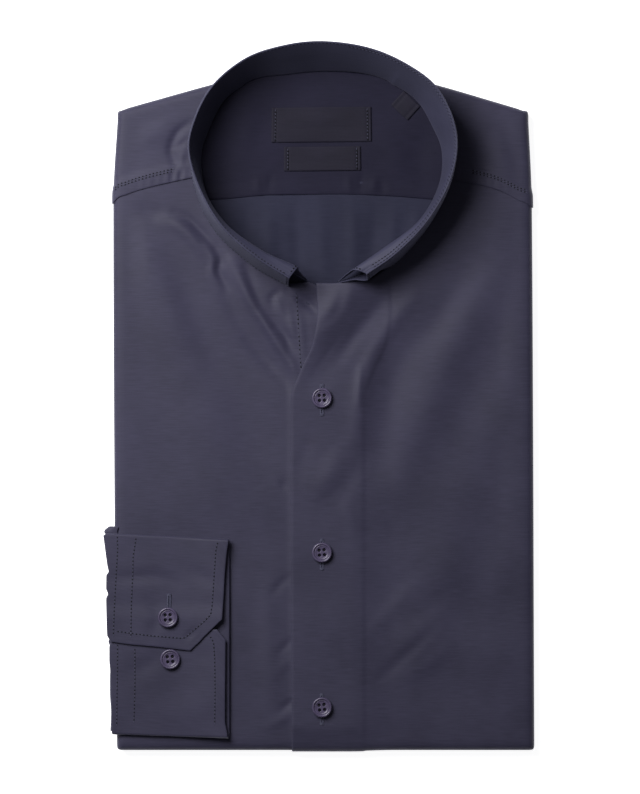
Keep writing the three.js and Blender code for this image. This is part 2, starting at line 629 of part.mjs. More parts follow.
// A round resin button with a raised rim and four holes
function buttonGeometry() {
  const { radius, height } = button;
  const profile = [
    [0, 0], [radius - 1, 0], [radius, 0.8], [radius, height - 0.8], [radius - 0.7, height],
    [radius - 1.6, height - 0.15], [radius - 2.4, height - 0.8], [0, height - 0.9],
  ].map(([x, y]) => new THREE.Vector2(x, y));
  const body = new THREE.LatheGeometry(profile, button.sides).rotateX(Math.PI / 2);
  const hole = new THREE.CylinderGeometry(button.holeRadius, button.holeRadius, 3 * height, 6);
  hole.rotateX(Math.PI / 2);
  let solid = toSolid(body);
  for (const sideX of [-1, 1]) {
    for (const sideY of [-1, 1]) {
      const place = new THREE.Vector3(sideX * button.holeReach, sideY * button.holeReach, 0);
      solid = solid.subtract(toSolid(hole.clone().translate(place.x, place.y, place.z)));
    }
  }
  return fromSolid(solid);
}

function toSolid(geometry) {
  const plain = geometry.clone();
  plain.deleteAttribute('normal');
  plain.deleteAttribute('uv');
  const merged = mergeVertices(plain, 1e-4);
  return new wasm.Manifold(new wasm.Mesh({
    numProp: 3,
    vertProperties: new Float32Array(merged.attributes.position.array),
    triVerts: new Uint32Array(merged.index.array),
  }));
}

function fromSolid(solid) {
  const mesh = solid.getMesh();
  const geometry = new THREE.BufferGeometry();
  geometry.setAttribute('position', new THREE.BufferAttribute(mesh.vertProperties, 3));
  geometry.setIndex(new THREE.BufferAttribute(mesh.triVerts, 1));
  return geometry;
}

function addButtons() {
  const geometry = buttonGeometry();
  const frontLevel = seamGap + overlapLift + clothWall + placketExtra + seamGap;
  frontButtons.forEach(({ x, y }, k) => {
    addPiece(`front_button_${k + 1}`, geometry.clone(), resin).position.set(x, y, stackHeight + frontLevel);
  });
  cuffButtons.forEach(({ x, y, level }, k) => {
    addPiece(`cuff_button_${k + 1}`, geometry.clone(), resin).position.set(x, y, level + seamGap);
  });
}

// Woven tapes laid on the inside of the yoke
function addLabels() {
  for (const { name, x, y, width, depth, turn } of labels) {
    const middle = new THREE.Vector2();
    const plan = steps(-depth / 2, depth / 2, 3).map((v) => steps(-width / 2, width / 2, 6).map((u) => {
      const spot = new THREE.Vector2(u, v).rotateAround(middle, turn);
      return { u: x + spot.x, v: y + spot.y, level: seamGap };
    }));
    addLaid(name, plan, labelWall, tape);
  }
}

addHiddenLayers();
addRightFront();
addLeftFront();
addYoke();
addInside();
addPiece('collar_stand', collarPly('stand'), poplin);
addPiece('collar_leaf', collarPly('leaf'), poplin);
addSleeve();
addCuff();
addButtons();
addLabels();

export default shirt;
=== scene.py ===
# A navy shirt with a short stand collar, folded flat for the shelf with its front up.
# Lengths in this script are millimetres until a mesh is made, in the frame of the solids:
# +X is to the right seen from above, +Y points to the collar and +Z is up.
import math

import bpy
import numpy as np
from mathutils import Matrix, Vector


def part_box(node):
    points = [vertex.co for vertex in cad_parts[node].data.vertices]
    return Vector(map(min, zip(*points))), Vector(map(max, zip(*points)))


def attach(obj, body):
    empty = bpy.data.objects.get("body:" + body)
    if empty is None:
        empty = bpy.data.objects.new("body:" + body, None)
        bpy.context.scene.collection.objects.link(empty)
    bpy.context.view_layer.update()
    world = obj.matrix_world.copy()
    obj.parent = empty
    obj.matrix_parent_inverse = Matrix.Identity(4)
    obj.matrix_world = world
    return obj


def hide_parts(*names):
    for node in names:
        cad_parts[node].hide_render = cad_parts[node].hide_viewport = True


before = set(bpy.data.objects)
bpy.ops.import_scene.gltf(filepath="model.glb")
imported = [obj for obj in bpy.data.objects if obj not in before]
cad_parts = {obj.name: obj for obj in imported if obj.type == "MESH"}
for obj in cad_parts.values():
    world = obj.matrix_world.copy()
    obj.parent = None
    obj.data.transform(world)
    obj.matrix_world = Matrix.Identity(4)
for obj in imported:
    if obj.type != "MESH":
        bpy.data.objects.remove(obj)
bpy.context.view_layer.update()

# Cloth and the folded stack
MM = 0.001
CLOTH = 0.5
FUSED = 0.55
STACK_HEIGHT = 11
CORE_ROUND = 5
FOLD_RADIUS = 6.5
WRAP_ANGLE = math.radians(100)
WRAP_LENGTH = FOLD_RADIUS * WRAP_ANGLE
CORNER_POWER = 7
CRISP = 0.6
LINE_INSET = 0.5
FRONT_LEVEL = 1.5
BED_LEVEL = 0.1
BACK_DROP = 0.2
PANEL_SPACING = 1.35
UP = np.array([0.0, 0, 1])

# Outline of the folded body seen from above: its straight sides, and how they wander
LEFT_SIDE = -116.5
RIGHT_SIDE = 121.3
HEM = -202.3
LEFT_WANDER = {"y": (-202, -77, 109, 163), "x": (0.7, -0.7, -1.5, 1.3)}
RIGHT_WANDER = {"y": (-202, 107, 163), "x": (1, -0.4, -2.7)}
SHOULDER_LINE = {
    "x": (-116, -62, -30, 0, 33, 67, 119),
    "y": (162.6, 177.5, 185.5, 188, 185.5, 177.5, 162.6),
}
FLAT_LEFT = LEFT_SIDE + FOLD_RADIUS
FLAT_RIGHT = RIGHT_SIDE - FOLD_RADIUS
FLAT_HEM = HEM + FOLD_RADIUS

# Seams of the yoke: outside on each shoulder, and inside below the labels
YOKE_SEAM_LEFT = {"x": (-116.5, -110.3, -96.6, -73), "y": (109.5, 114, 118.6, 124.1)}
YOKE_SEAM_RIGHT = {"x": (80, 100, 121.3), "y": (122.9, 118, 107.3)}
INSIDE_SEAM = {
    "x": (-76, -56.6, -25.3, 12.9, 40, 65.2, 78),
    "y": (111.5, 112.1, 114.6, 114.9, 114, 112.1, 111.5),
}
INSIDE_TOP = {
    "x": (-76, -62, -50, -30, 0, 33, 52, 66, 78),
    "y": (152, 166, 174.5, 182, 185.5, 182, 174.5, 166, 152),
}
INSIDE_ENDS = (-75.5, 77.5)
BACK_BOTTOM = 47
SEAM_TUCK = 9
SEAM_GAP = 1.5
YOKE_SEAM_LIFT = 0.75
YOKE_SEAM_RAMP = (6, 12)
YOKE_PUCKER = 0.12
YOKE_PUCKER_ABOVE = 3
YOKE_FAN = 0.35
INSIDE_SEAM_LIFT = 0.45
INSIDE_SEAM_RAMP = (2, 9)
BACK_UNDER_SEAM = 7

# The collar, section by section from one front end round the back to the other. x and y are
# its outer top edge as the camera sees it, and up is that edge's height. inward and outward are
# how far the foot of the turned-in leaf and of the stand lie from it, and knee is how sharply
# the leaf breaks, from a straight slope (0) to a narrow top band over an upright wall (1).
COLLAR = {
    "x": (-17.9, -36.9, -55.3, -67.4, -75.3, -73.3, -62.5, -42.9, -20, 3.1,
          29.3, 51.2, 67, 76.5, 78.6, 73.4, 60.9, 43.7, 26.9),
    "y": (66.8, 78.8, 95.2, 114, 137, 155, 176.5, 192.9, 200.6, 202.7,
          198.7, 188.9, 176.3, 158, 140, 119.5, 98.6, 80.9, 69),
    "up": (38, 40, 42, 43, 44, 44, 43, 42, 41, 40.5, 41, 42, 43, 44, 44, 43, 42, 40, 36),
    "inward": (8, 5.7, 3.6, 3.9, 7.7, 9.3, 9.6, 12.9, 16.7, 16.8,
               14.3, 12.3, 11.4, 10.5, 7.2, 4.6, 4, 7, 7.9),
    "outward": (4.3, 4.1, 3.7, 2, -1.5, -4, -7, -11, -14.5, -15,
                -12.3, -10, -7, -3.5, -1.2, 1, 2.6, 4.2, 5),
    "knee": (1, 1, 0.9, 0.4, 0, 0, 0, 0, 0, 0, 0, 0, 0, 0, 0, 0.5, 0.9, 1, 1),
}
COLLAR_BOW = 0.4
COLLAR_COLUMNS = 320
# The wavy top edge, each wave's height, turns and start, and how deep stitches press the cloth in
COLLAR_WAVES = ((0.25, 41, 0), (0.2, 97, 1))
WAVE_REACH = 7
WAVE_END = 30
DENT = {"first": (0.2, 0.4), "second": (0.14, 0.45)}
RIDGE_RADIUS = 0.6
RIDGE_QUARTER = RIDGE_RADIUS * math.pi / 2
KNEE_SHARE = 0.3
KNEE_DROP = 3.5
COLLAR_LENGTH = 420
STITCH_FROM_RIDGE = 0.35
SECOND_STITCH = 2.1
FOOT_STITCH = 2.5
FOOT_LEVEL = 1
NECK_INSET = 1.2
PLY_ROWS = 61
CLOSE_ROWS = 0.45
PLACE_STEP = 0.002
LEFT_HALF = (0.02, 0.35)
RIGHT_HALF = (0.98, 0.65)

# The front edge of each ply at the collar's left and right end, from below the top to the foot
COLLAR_ENDS = {
    "stand": (((-18.1, 64.6, 29), (-18.1, 62.8, 20), (-17.9, 61.8, 12.4)),
              ((26.6, 65.2, 27), (19, 65.6, 20), (10.8, 63.9, 15.3))),
    "leaf": (((-12.7, 72.7, 34.5), (-12, 71, 24), (-7.4, 66, 12.4)),
             ((19.4, 71.5, 33.5), (15.6, 69.6, 25), (10.3, 65.2, 15.6))),
}
END_REACH = 20

# Front edges: the folded placket edge, and the edge of the front that lies below it
PLACKET_EDGE = {"y": (-202.3, -2.6, 15, 30, 48, 64.3), "x": (-16.3, -15.6, -9.7, -2.9, -0.4, -1.1)}
PLACKET_TOP = {"left": -1.1, "right": 8.5, "y": 63.6}
PLACKET_WIDTH = 42
PLACKET_STEP = 2.4
PLACKET_WALL = 0.95
PLACKET_THINS = (8, 2)
UNDER_EDGE = 14
UNDER_TOP = ((-12, 63.4), (-6, 64.4), (-1, 62), (UNDER_EDGE, 60.6))
OVERLAP_LIFT = 1.8
OVERLAP_RAMP = (16, 42)
OVERLAP_CALM = 0.35
CALM_RAMP = (6, 20)
PLACKET_EXTRA = 0.3
STAND_EXTRA = 0.9
STAND_RAMP = (-19, -13)
STAND_WALL = 1.1
STAND_THICKENS = (-18, -13)
STAND_SEAM = {"x": -10.6, "y": 56, "lean": 0.016, "reach": 2.2, "pucker": 0.14, "turn": 2.1,
              "fade": (2, 12)}
HEM_SHARE = 0.3
HEM_RAMP = (FLAT_HEM - 4, FLAT_HEM + 8)
FRONT_FADE = 14
YOKE_FADE = 12

# Creases: soft ridges and troughs along a few points, with their rise and half width
RIGHT_FRONT_CREASES = (
    (((-106, 108), (-96, 104), (-86, 102)), -0.9, 5),
    (((-88, 100), (-80, 97), (-72, 90), (-64, 79)), 1.6, 4),
    (((-81, 104), (-74.4, 101), (-68, 95), (-63, 90), (-58.5, 85)), -1.1, 2.6),
    (((-64, 86), (-60, 78), (-60, 70), (-56, 62)), 0.9, 2.6),
    (((-58, 84), (-55.4, 77.4), (-56.6, 71), (-52, 62)), -1.0, 2.6),
    (((-49, 76), (-43, 64), (-37, 53), (-29, 41), (-21, 29), (-15, 18)), 2.2, 4),
    (((-41, 74), (-38, 62), (-33, 50), (-26, 41), (-18, 31), (-12, 18)), -1.3, 3),
    (((-16, 48), (-6, 52), (4, 58)), -1.3, 6),
    (((-40, 30), (-28, 18), (-14, 2)), -1.1, 4.5),
    (((-26, 58), (-20, 46), (-16, 36)), 0.9, 3),
    (((-56, 66), (-45, 43), (-28, 19)), -1.0, 5),
    (((-33, 46), (-26, 32), (-19, 22), (-14, 14)), 0.7, 2.4),
    (((-17, 60), (-9, 55), (-1, 47)), -1.6, 2.4),
    (((-22, 60), (-26, 56), (-25, 51)), -0.9, 2.4),
    (((-12, 50), (-10, 38), (-9, 24)), 0.6, 2),
    (((-19, 55), (-16, 44), (-14, 30)), 0.7, 2.4),
    (((-100, 95), (-88, 60), (-75, 20)), 1.7, 13),
    (((-92, 88), (-76, 58), (-60, 20)), -1.2, 9),
    (((-60, 30), (-46, 0), (-36, -40)), -1, 13),
    (((-85, -10), (-66, -36), (-45, -60)), 1, 20),
    (((-21, -48), (-20, -54)), -0.4, 2.4),
    (((-27, -113), (-22, -107), (-17, -103)), -0.45, 2.4),
    (((-24, -147), (-19, -142), (-15, -138)), -0.45, 2.2),
    (((-26, -158), (-20, -153), (-16, -150)), 0.3, 3),
    (((-23, -179), (-19, -176), (-15, -173)), -0.55, 2),
    (((-34, -192), (-24, -186), (-15, -180)), 0.5, 3),
    (((-30, -110), (-29, -150), (-28, -185)), 0.7, 6),
)
LEFT_FRONT_CREASES = (
    (((24, 66), (12, 53), (1, 39), (-9, 22)), 3.0, 9),
    (((39, 57), (32, 49), (24, 39), (13, 26), (4, 15), (-4, 6)), -1.3, 5),
    (((54, 56), (43, 43), (33, 28), (26, 12), (23, -8), (21, -24)), 1.3, 5),
    (((86, 76), (69, 46), (51, 26), (43, 9), (37, -11), (30, -40)), -1.2, 9),
    (((98, 66), (75, 24), (55, -21), (36, -66)), 1.2, 11),
    (((106, 50), (88, 0), (72, -40)), -1.2, 14),
    (((23.4, 16), (22.4, 2), (22, -6)), 0.7, 1.8),
    (((14, 60), (10, 48), (2, 40)), -0.6, 3),
    (((-4, -20), (-9, -34), (-14, -48)), -0.7, 4),
    (((12, -30), (6, -44), (-2, -56)), 0.7, 6),
    (((24, -36), (14, -52), (4, -66)), -0.5, 5),
    (((12, -60), (18, -72), (20, -80)), 0.5, 5),
    (((90, -60), (66, -110), (40, -160)), 1.2, 18),
    (((104, -30), (90, -90), (70, -150)), -0.9, 14),
    (((56, -106), (42, -120), (28, -136)), 0.45, 5),
    (((74, -110), (60, -122), (46, -134)), -0.4, 6),
    (((64, -133), (48, -148), (33, -162)), -0.55, 3.6),
    (((72, -144), (60, -154), (47, -162)), 0.4, 4.5),
)
SHOULDER_CREASES = (
    (((-74.6, 155.4), (-80.6, 150.7), (-83.2, 146), (-84.7, 140.3), (-82.6, 134), (-80.8, 130)),
     -1.1, 2.4),
    (((-76.4, 145.4), (-80, 142.4), (-83, 141.4)), -0.5, 1.8),
    (((-77, 140), (-78.5, 134), (-78, 129)), 0.5, 2),
    (((-83.2, 128.5), (-83.2, 121.5)), -0.6, 0.9),
    (((-78, 129), (-78.3, 122)), -0.7, 0.9),
    (((-86, 158), (-92, 150), (-104, 146)), 0.6, 6),
    (((88, 150), (92, 138), (94, 126)), -0.9, 5),
    (((100, 152), (106, 138), (110, 124)), 0.8, 7),
)
BACK_CREASES = (
    (((-40.6, 106), (-42, 84), (-43, 60)), -0.55, 4),
    (((-27.4, 106), (-28, 80), (-27, 56)), 0.75, 4.5),
    (((-13.1, 108), (-12, 84), (-10, 62)), -0.65, 4),
    (((1.1, 108), (2, 86), (3, 64)), 0.6, 4.5),
    (((19.4, 108), (20, 88), (19, 70)), 0.7, 4),
    (((32, 107), (31, 88), (28, 72)), -0.6, 4),
    (((42.9, 106), (42, 90), (38, 76)), 0.6, 3.6),
    (((56, 104), (54, 92), (50, 82)), 0.55, 3.4),
)
INSIDE_CREASES = (
    (((-34, 116), (-35, 124)), 0.5, 2), (((-28, 116), (-27, 126)), -0.45, 2),
    (((18, 116), (17, 125)), 0.5, 2), (((24, 116), (25, 127)), -0.45, 2),
    (((31, 116), (32, 124)), 0.5, 2.2), (((37, 115), (36, 122)), -0.4, 2),
    (((-58, 158), (-52, 140), (-56, 122)), -0.6, 7),
    (((-44, 170), (-40, 158), (-44, 140)), 0.6, 6),
    (((38, 150), (44, 136), (40, 124)), 0.5, 7),
    (((62, 150), (58, 136), (60, 120)), -0.5, 6),
)

# The flattened cuff and the sleeve that comes round the side into it
CUFF_WALL = 0.8
CUFF_STEP = 1.3
OVER_STEPS = 1.3
CUFF_CURL = 3
CURL_RAMP = (-86, -46)
BACK_CURL = 0.35
CUFF_BACK_HEIGHT = 13.5
LIFTED_FROM = 14
LIFTED_TO = 3
CUFF_TOP = (-78.8, -82)
CUFF_BOTTOM = (-192.6, -194.8)
CUFF_LEFT = {
    "y": (-192, -174, -157, -150, -143, -140.2, -138.8, -136.5, -125, -115.8, -113, -110, -102.5,
          -100.3, -97.5, -89, -77.5),
    "x": (-118.2, -118.6, -119.1, -119.6, -119.6, -118.6, -119.6, -120.8, -121.2, -121.4, -120.4,
          -121.4, -121.3, -120, -120.6, -121.8, -123.3),
}
CUFF_RIGHT = {
    "under": {"y": (-195, -191, -185, -140), "x": (-52.9, -53.4, -54.4, -54)},
    "back": {"y": (-195, -82), "x": (-51.9, -51.9)},
    "over": {"y": (-127.5, -114, -103, -91, -82), "x": (-56, -55.1, -54.6, -53.6, -52.3)},
}
CUFF_BACK_LEFT = -117.8
OVER_END = {"part": (0, 0.17, 0.44, 0.62, 0.72, 1),
            "y": (-140, -141.4, -142.9, -144.3, -144.9, -127.2)}
UNDER_END = {"part": (0, 0.93, 1), "y": (-131, -133.5, -139.2)}
OVER_STITCHES = (
    ((-115.4, -80.6), (-115.2, -88), (-116.3, -106), (-117.2, -124), (-117.7, -138.6)),
    ((-104.8, -81.6), (-106.4, -92), (-106.6, -102), (-107.4, -119), (-107.7, -139)),
    ((-58.3, -84), (-59.2, -88), (-60, -98.6), (-60.6, -108.3), (-61.4, -119.7), (-62.3, -124.9),
     (-66.3, -128.9), (-76, -137.2), (-78.3, -138.3), (-94.9, -136.9), (-103, -136), (-117.7, -134)),
)
UNDER_STITCHES = (
    ((-115.2, -142.2), (-115.8, -189.4)),
    ((-105.4, -144.5), (-105.4, -166), (-106, -188)),
    ((-62.3, -137.5), (-60.6, -140.5), (-59.9, -150), (-59.7, -168), (-60, -189)),
)
CUFF_CREASES = (
    (((-118, -104), (-95, -103), (-82, -106)), -0.65, 4),
    (((-75, -98), (-66, -104), (-59, -106)), -0.55, 4.5),
    (((-96, -117), (-92.5, -127), (-96, -136)), -0.6, 4),
    (((-76, -134), (-72, -138)), -0.45, 4),
    (((-92, -146), (-97, -153), (-108, -158)), -0.45, 5),
    (((-66, -142), (-68, -154)), -0.3, 6),
    (((-110, -176), (-80, -180), (-60, -176)), 0.25, 8),
)
SLEEVE_ENDS = (-191, -75)
SLEEVE_TURN = {
    "x": (-114.5, -117, -118.6, -119.1, -119, -118.6, -117.9, -116.5),
    "z": (12.6, 12.5, 11.6, 9.5, 6.5, 3.4, 1.4, 0.5),
}
SLEEVE_WAVE = 0.25
SLEEVE_PLEATS = ((-77.6, 3.8, 2.4), (-101, 0.7, 1.3), (-114, 0.7, 1.3), (-140.3, 0.9, 1.5),
                 (-84, 0.5, 2.5), (-160, 0.4, 6), (-178, -0.3, 6))

# Each panel's creases, and its waves: seed, length and height
SOFT_FORMS = {
    "right front": (RIGHT_FRONT_CREASES, 3, 46, 0.5),
    "left front": (LEFT_FRONT_CREASES, 8, 50, 0.55),
    "yoke": (SHOULDER_CREASES, 5, 30, 0.35),
    "inside yoke": (INSIDE_CREASES, 11, 34, 0.3),
    "back": (BACK_CREASES, 13, 30, 0.25),
    "cuff": (CUFF_CREASES, 21, 30, 0.25),
}
WAVES = 6
WAVE_SPREAD = (0.7, 1.6)
CREASE_TAPER = (0.12, 0.88)

# Edge of the hidden layers: how far out it lies, at heights from the top down
CORE_PROFILE = ((0, 9.6), (3.2, 9.4), (4.9, 7.6), (5.3, 5.6), (4.9, 4.75), (6.1, 4.3), (6.5, 3.5),
                (6.1, 2.8), (5.0, 2.42), (6.0, 2.1), (6.4, 1.3), (6.0, 0.5), (5.2, 0.0))
CORE_SIDE_TOP = 156
CORE_SLACK = 0.35
CORE_INSET = 0.4
CORE_ACROSS = 160
CORE_UP = 240

# Buttons, labels and thread
BUTTON_RADIUS = 5.72
BUTTON_FACE = {"r": (0, 3.2, 3.8, 4.15, 4.5, 5, 5.4, 5.65, 5.72),
               "z": (1.5, 1.55, 1.8, 1.72, 2.15, 2.35, 2.2, 1.8, 1.35)}
BUTTON_BACK = {"r": (0, 4.2, 5.2, 5.72), "z": (0.0, 0.0, 0.35, 1.2)}
BUTTON_TURN = 0.04
HOLE_RADIUS = 0.9
HOLE_REACH = 1.43
HOLE_FLOOR = 0.3
HOLE_THREAD_HEIGHT = 0.75
FRONT_BUTTONS = ((1.1, -1.4), (1.1, -89.4), (1.1, -177.5))
CUFF_BUTTONS = ((-86.6, -126.3), (-85.3, -150.1))
CUFF_HOLE = (-85.9, -121.8)
LABELS = (
    ("label_main", "main_label", 1.5, 154.4, 57.2, 19.4, 0.01),
    ("label_second", "second_label", 2.2, 135, 43.4, 13.4, 0.01),
    ("label_size", "size_label", 50.3, 165.2, 12.6, 10.6, -0.75),
)
LABEL_LIFT = 0.75
LABEL_WALL = 0.45
LABEL_SEWN = 2
THREAD_RADIUS = 0.17
STITCH_LENGTH = 1.55
STITCH_GAP = 0.55
# Needle holes are painted shade: nearly black discs between the stitches
PIT_RADIUS = 0.58
PIT_RINGS = ((0.85, 0.11), (1.0, -0.06))
# A stitch: part of the way, share of its radius, and share of its lift
STRAND_SHAPE = ((0.0, 0.5, -0.6), (0.18, 1.0, 0.5), (0.5, 1.0, 1.0), (0.82, 1.0, 0.5), (1.0, 0.5, -0.6))
STRAND_SIDES = 6
SHOULDER_ROWS = (5.7, 7.1)
SHOULDER_ROW_ENDS = {"left": (FLAT_LEFT - 4, -81), "right": (88, FLAT_RIGHT + 4)}
STAND_ROW = {"top": 58.5, "bottom": 6, "x": -12.6, "lean": 0.055}
# A buttonhole: its length, its stitches on each side, from where to where they reach, their lean,
# and the bars across its two ends
BUTTONHOLE = {"length": 16, "stitches": 46, "slit": 0.12, "reach": 1.25, "lean": 0.12, "thread": 0.2,
              "lift": 0.14, "bar": 1.3, "bar_lift": 0.2, "bar_at": 8.3,
              "bar_rows": (-0.525, -0.175, 0.175, 0.525)}
BUTTONHOLE_BELOW = 1.2
# Thread in the buttons' holes, nearly black as painted shade of the holes: shifts across, how far past
# the hole, radius and lift
HOLE_THREADS = {"shifts": (-0.42, 0.0, 0.42), "past": 0.7, "radius": 0.28, "lift": 0.1}

# Cloths: darkest and lightest colour, roughness, sheen, share of threads, weave in mm, shine
CLOTHS = {
    "navy poplin":
        ((0.0248, 0.023, 0.046), (0.0362, 0.0335, 0.0645), 0.6, 0.12, 0.45, 0.5, 0.25),
    # The back and the inside yoke are the navy poplin made darker: painted shade from the collar walls
    # over the inside of the neck
    "back poplin painted shade":
        ((0.0165, 0.017, 0.034), (0.023, 0.0235, 0.0455), 0.66, 0.03, 0.4, 0.5, 0.12),
    "inside yoke poplin painted shade":
        ((0.0102, 0.0094, 0.021), (0.0145, 0.0132, 0.0285), 0.68, 0, 0.4, 0.5, 0.1),
    # The collar's poplin is a lighter copy of the navy poplin: painted highlight for the collar's
    # brighter look
    "fused poplin painted highlight":
        ((0.031, 0.0305, 0.058), (0.042, 0.0415, 0.077), 0.62, 0.06, 0.4, 0.5, 0.25),
    "woven tape":
        ((0.0105, 0.0095, 0.0175), (0.015, 0.0135, 0.0245), 0.66, 0.02, 0.3, 0.8, 0.12),
    "sewing thread":
        ((0.045, 0.045, 0.08), (0.065, 0.065, 0.105), 0.55, 0.1, 0.5, 0.3, 0.25),
    # Nearly black: painted shade for needle holes and for the buttons' holes
    "hole painted shade":
        ((0.002, 0.002, 0.004), (0.005, 0.005, 0.009), 0.8, 0, 0.4, 0.5, 0.25),
}
THREAD_SCALE = (100, 1500, 1)
SHEEN_TINT = (0.75, 0.77, 1.0, 1)
RESIN_DARK = (0.038, 0.029, 0.066)
RESIN_LIGHT = (0.07, 0.054, 0.115)

# The photograph: its size in pixels, millimetres to a pixel, and its middle in the frame
PHOTO_WIDTH = 640
PHOTO_HEIGHT = 794
PIXEL = 0.5715
FRAME_HEIGHT = PHOTO_HEIGHT * PIXEL
FRAME_MIDDLE = (0.0, -0.86)
CAMERA_HEIGHT = 4000
SENSOR_HEIGHT = 24

# Floor and light, the light in metres and watts
FLOOR_REACH = 3000
FLOOR_LEVEL = -0.25
FLOOR_DARK = (0.86, 0.86, 0.86)
FLOOR_LIGHT = (0.9, 0.9, 0.9)
SKY = {"colour": (0.96, 0.97, 1), "strength": 0.115}
KEY_LIGHT = {"where": (-0.44, 0.41, 0.72), "size": 0.54, "power": 12.7}


def blend(low, high, part):
    return low + (high - low) * part


def smooth(value, low, high):
    part = np.clip((value - low) / (high - low), 0, 1)
    return part * part * (3 - 2 * part)


def reading(table, at, of, values):
    """Reads one column of a table at values of another, as a smooth curve within its rows."""
    x = np.array(table[at], float)
    y = np.array(table[of], float)
    slope = np.diff(y) / np.diff(x)
    before, after = slope[:-1], slope[1:]
    same = before * after > 0
    middle = np.where(same, 2 * before * after / np.where(same, before + after, 1), 0)
    tangent = np.concatenate([slope[:1], middle, slope[-1:]])
    k = np.clip(np.searchsorted(x, values) - 1, 0, len(x) - 2)
    width = x[k + 1] - x[k]
    t = np.clip((values - x[k]) / width, 0, 1)
    rise = (2 * t**3 - 3 * t**2 + 1) * y[k] + (3 * t**2 - 2 * t**3) * y[k + 1]
    return rise + width * ((t**3 - 2 * t**2 + t) * tangent[k] + (t**3 - t**2) * tangent[k + 1])


def curve_at(values, place):
    """A smooth curve through rows of values, read at places counted in rows."""
    ends = np.concatenate([[2 * values[0] - values[1]], values, [2 * values[-1] - values[-2]]])
    k = np.clip(place.astype(int), 0, len(values) - 2)
    t = (place - k).reshape(-1, *[1] * (values.ndim - 1))
    a, b, c, d = ends[k], ends[k + 1], ends[k + 2], ends[k + 3]
    return 0.5 * (2 * b + (c - a) * t + (2 * a - 5 * b + 4 * c - d) * t**2
                  + (3 * b - a - 3 * c + d) * t**3)


def bent(points, count):
    """A smooth curve through a few points, as an array of count points."""
    return curve_at(np.array(points, float), np.linspace(0, len(points) - 1, count))


def run_along(points):
    """How far along it each point of a line lies, or of every column of a grid."""
    steps = np.linalg.norm(np.diff(points, axis=0), axis=-1)
    return np.concatenate([np.zeros((1, *steps.shape[1:])), np.cumsum(steps, axis=0)])


def run_across(grid):
    """How far along its rows each point of a grid lies."""
    return np.cumsum(np.linalg.norm(np.diff(grid, axis=1, prepend=grid[:, :1]), axis=2), axis=1)


def read_line(points, run, at):
    """Points of a line at distances along it."""
    return np.stack([np.interp(at, run, column) for column in points.T], 1)


def spread(points, count):
    """A line read again at count points with even gaps."""
    points = np.array(points, float)
    run = run_along(points)
    return read_line(points, run, np.linspace(0, run[-1], count))


def evenly(points, spacing):
    """A line read again with about that spacing."""
    return spread(points, max(2, int(run_along(np.array(points, float))[-1] / spacing) + 1))


def unit(vectors):
    return vectors / np.maximum(np.linalg.norm(vectors, axis=-1, keepdims=True), 1e-9)


def directions(grid):
    """Unit directions along a grid's rows, up its columns and out of its face."""
    along = unit(np.gradient(grid, axis=1))
    climb = unit(np.gradient(grid, axis=0))
    return along, climb, unit(np.cross(along, climb))


# Laying cloth on the stack

def flat_top(x):
    """Y where the flat part of the stack ends below the shoulder line."""
    return reading(SHOULDER_LINE, "x", "y", x) - FOLD_RADIUS


def foot(u, v):
    """The spot on the flat part that a laid-out point belongs to, and its way past the edge."""
    x = np.clip(u, FLAT_LEFT, FLAT_RIGHT)
    y = np.clip(v, FLAT_HEM, flat_top(np.clip(u, LEFT_SIDE + LINE_INSET, RIGHT_SIDE - LINE_INSET)))
    past = (np.abs(u - x) ** CORNER_POWER + np.abs(v - y) ** CORNER_POWER) ** (1 / CORNER_POWER)
    across = (x - FLAT_LEFT) / (FLAT_RIGHT - FLAT_LEFT)
    wander = blend(reading(LEFT_WANDER, "y", "x", y), reading(RIGHT_WANDER, "y", "x", y), across)
    safe = np.maximum(past, 1e-9)
    return x + wander, y, past, (u - x) / safe, (v - y) / safe


def lie(u, v, above):
    """Points of cloth laid on the stack and turned down round its edges, a height above it."""
    u, v, above = np.broadcast_arrays(*(np.asarray(value, float) for value in (u, v, above)))
    x, y, past, to_x, to_y = foot(u, v)
    turn = np.minimum(past, WRAP_LENGTH) / FOLD_RADIUS
    reach = CORE_ROUND + above
    out = reach * np.sin(turn) ** CRISP
    rise = reach * np.sign(np.cos(turn)) * np.abs(np.cos(turn)) ** CRISP
    return np.stack([x + out * to_x, y + out * to_y, STACK_HEIGHT - CORE_ROUND + rise], -1)


def nearest(path, x, y):
    """Distance from a path, and the place along it from 0 to 1."""
    path = np.array(path, float)
    runs = np.linalg.norm(np.diff(path, axis=0), axis=1)
    total = runs.sum()
    best = np.full(np.shape(x), np.inf)
    place = np.zeros(np.shape(x))
    done = 0.0
    for (ax, ay), (bx, by), run in zip(path[:-1], path[1:], runs):
        part = np.clip(((x - ax) * (bx - ax) + (y - ay) * (by - ay)) / run**2, 0, 1)
        away = np.hypot(x - ax - part * (bx - ax), y - ay - part * (by - ay))
        closer = away < best
        best = np.where(closer, away, best)
        place = np.where(closer, (done + part * run) / total, place)
        done += run
    return best, place


def crease_height(creases, x, y):
    """How far the creases of a table lift the cloth at each place."""
    total = np.zeros(np.shape(x))
    for path, rise, wide in creases:
        curve = bent(path, 4 * len(path)) if len(path) > 2 else path
        away, place = nearest(curve, x, y)
        taper = np.sin(math.pi * blend(*CREASE_TAPER, place))
        total += rise * taper * np.exp(-(away / wide) ** 2)
    return total


def ripple(x, y, seed, size, height):
    """Slight unevenness: a few long waves in different directions."""
    rng = np.random.default_rng(seed)
    total = np.zeros(np.shape(x))
    for _ in range(WAVES):
        angle, phase = rng.uniform(0, math.pi), rng.uniform(0, 2 * math.pi)
        wave = size * rng.uniform(*WAVE_SPREAD)
        total += np.sin((x * math.cos(angle) + y * math.sin(angle)) * 2 * math.pi / wave + phase)
    return total * height / WAVES


def soft_form(panel, x, y):
    """A panel's creases and waves."""
    creases, *waves = SOFT_FORMS[panel]
    return crease_height(creases, x, y) + ripple(x, y, *waves)


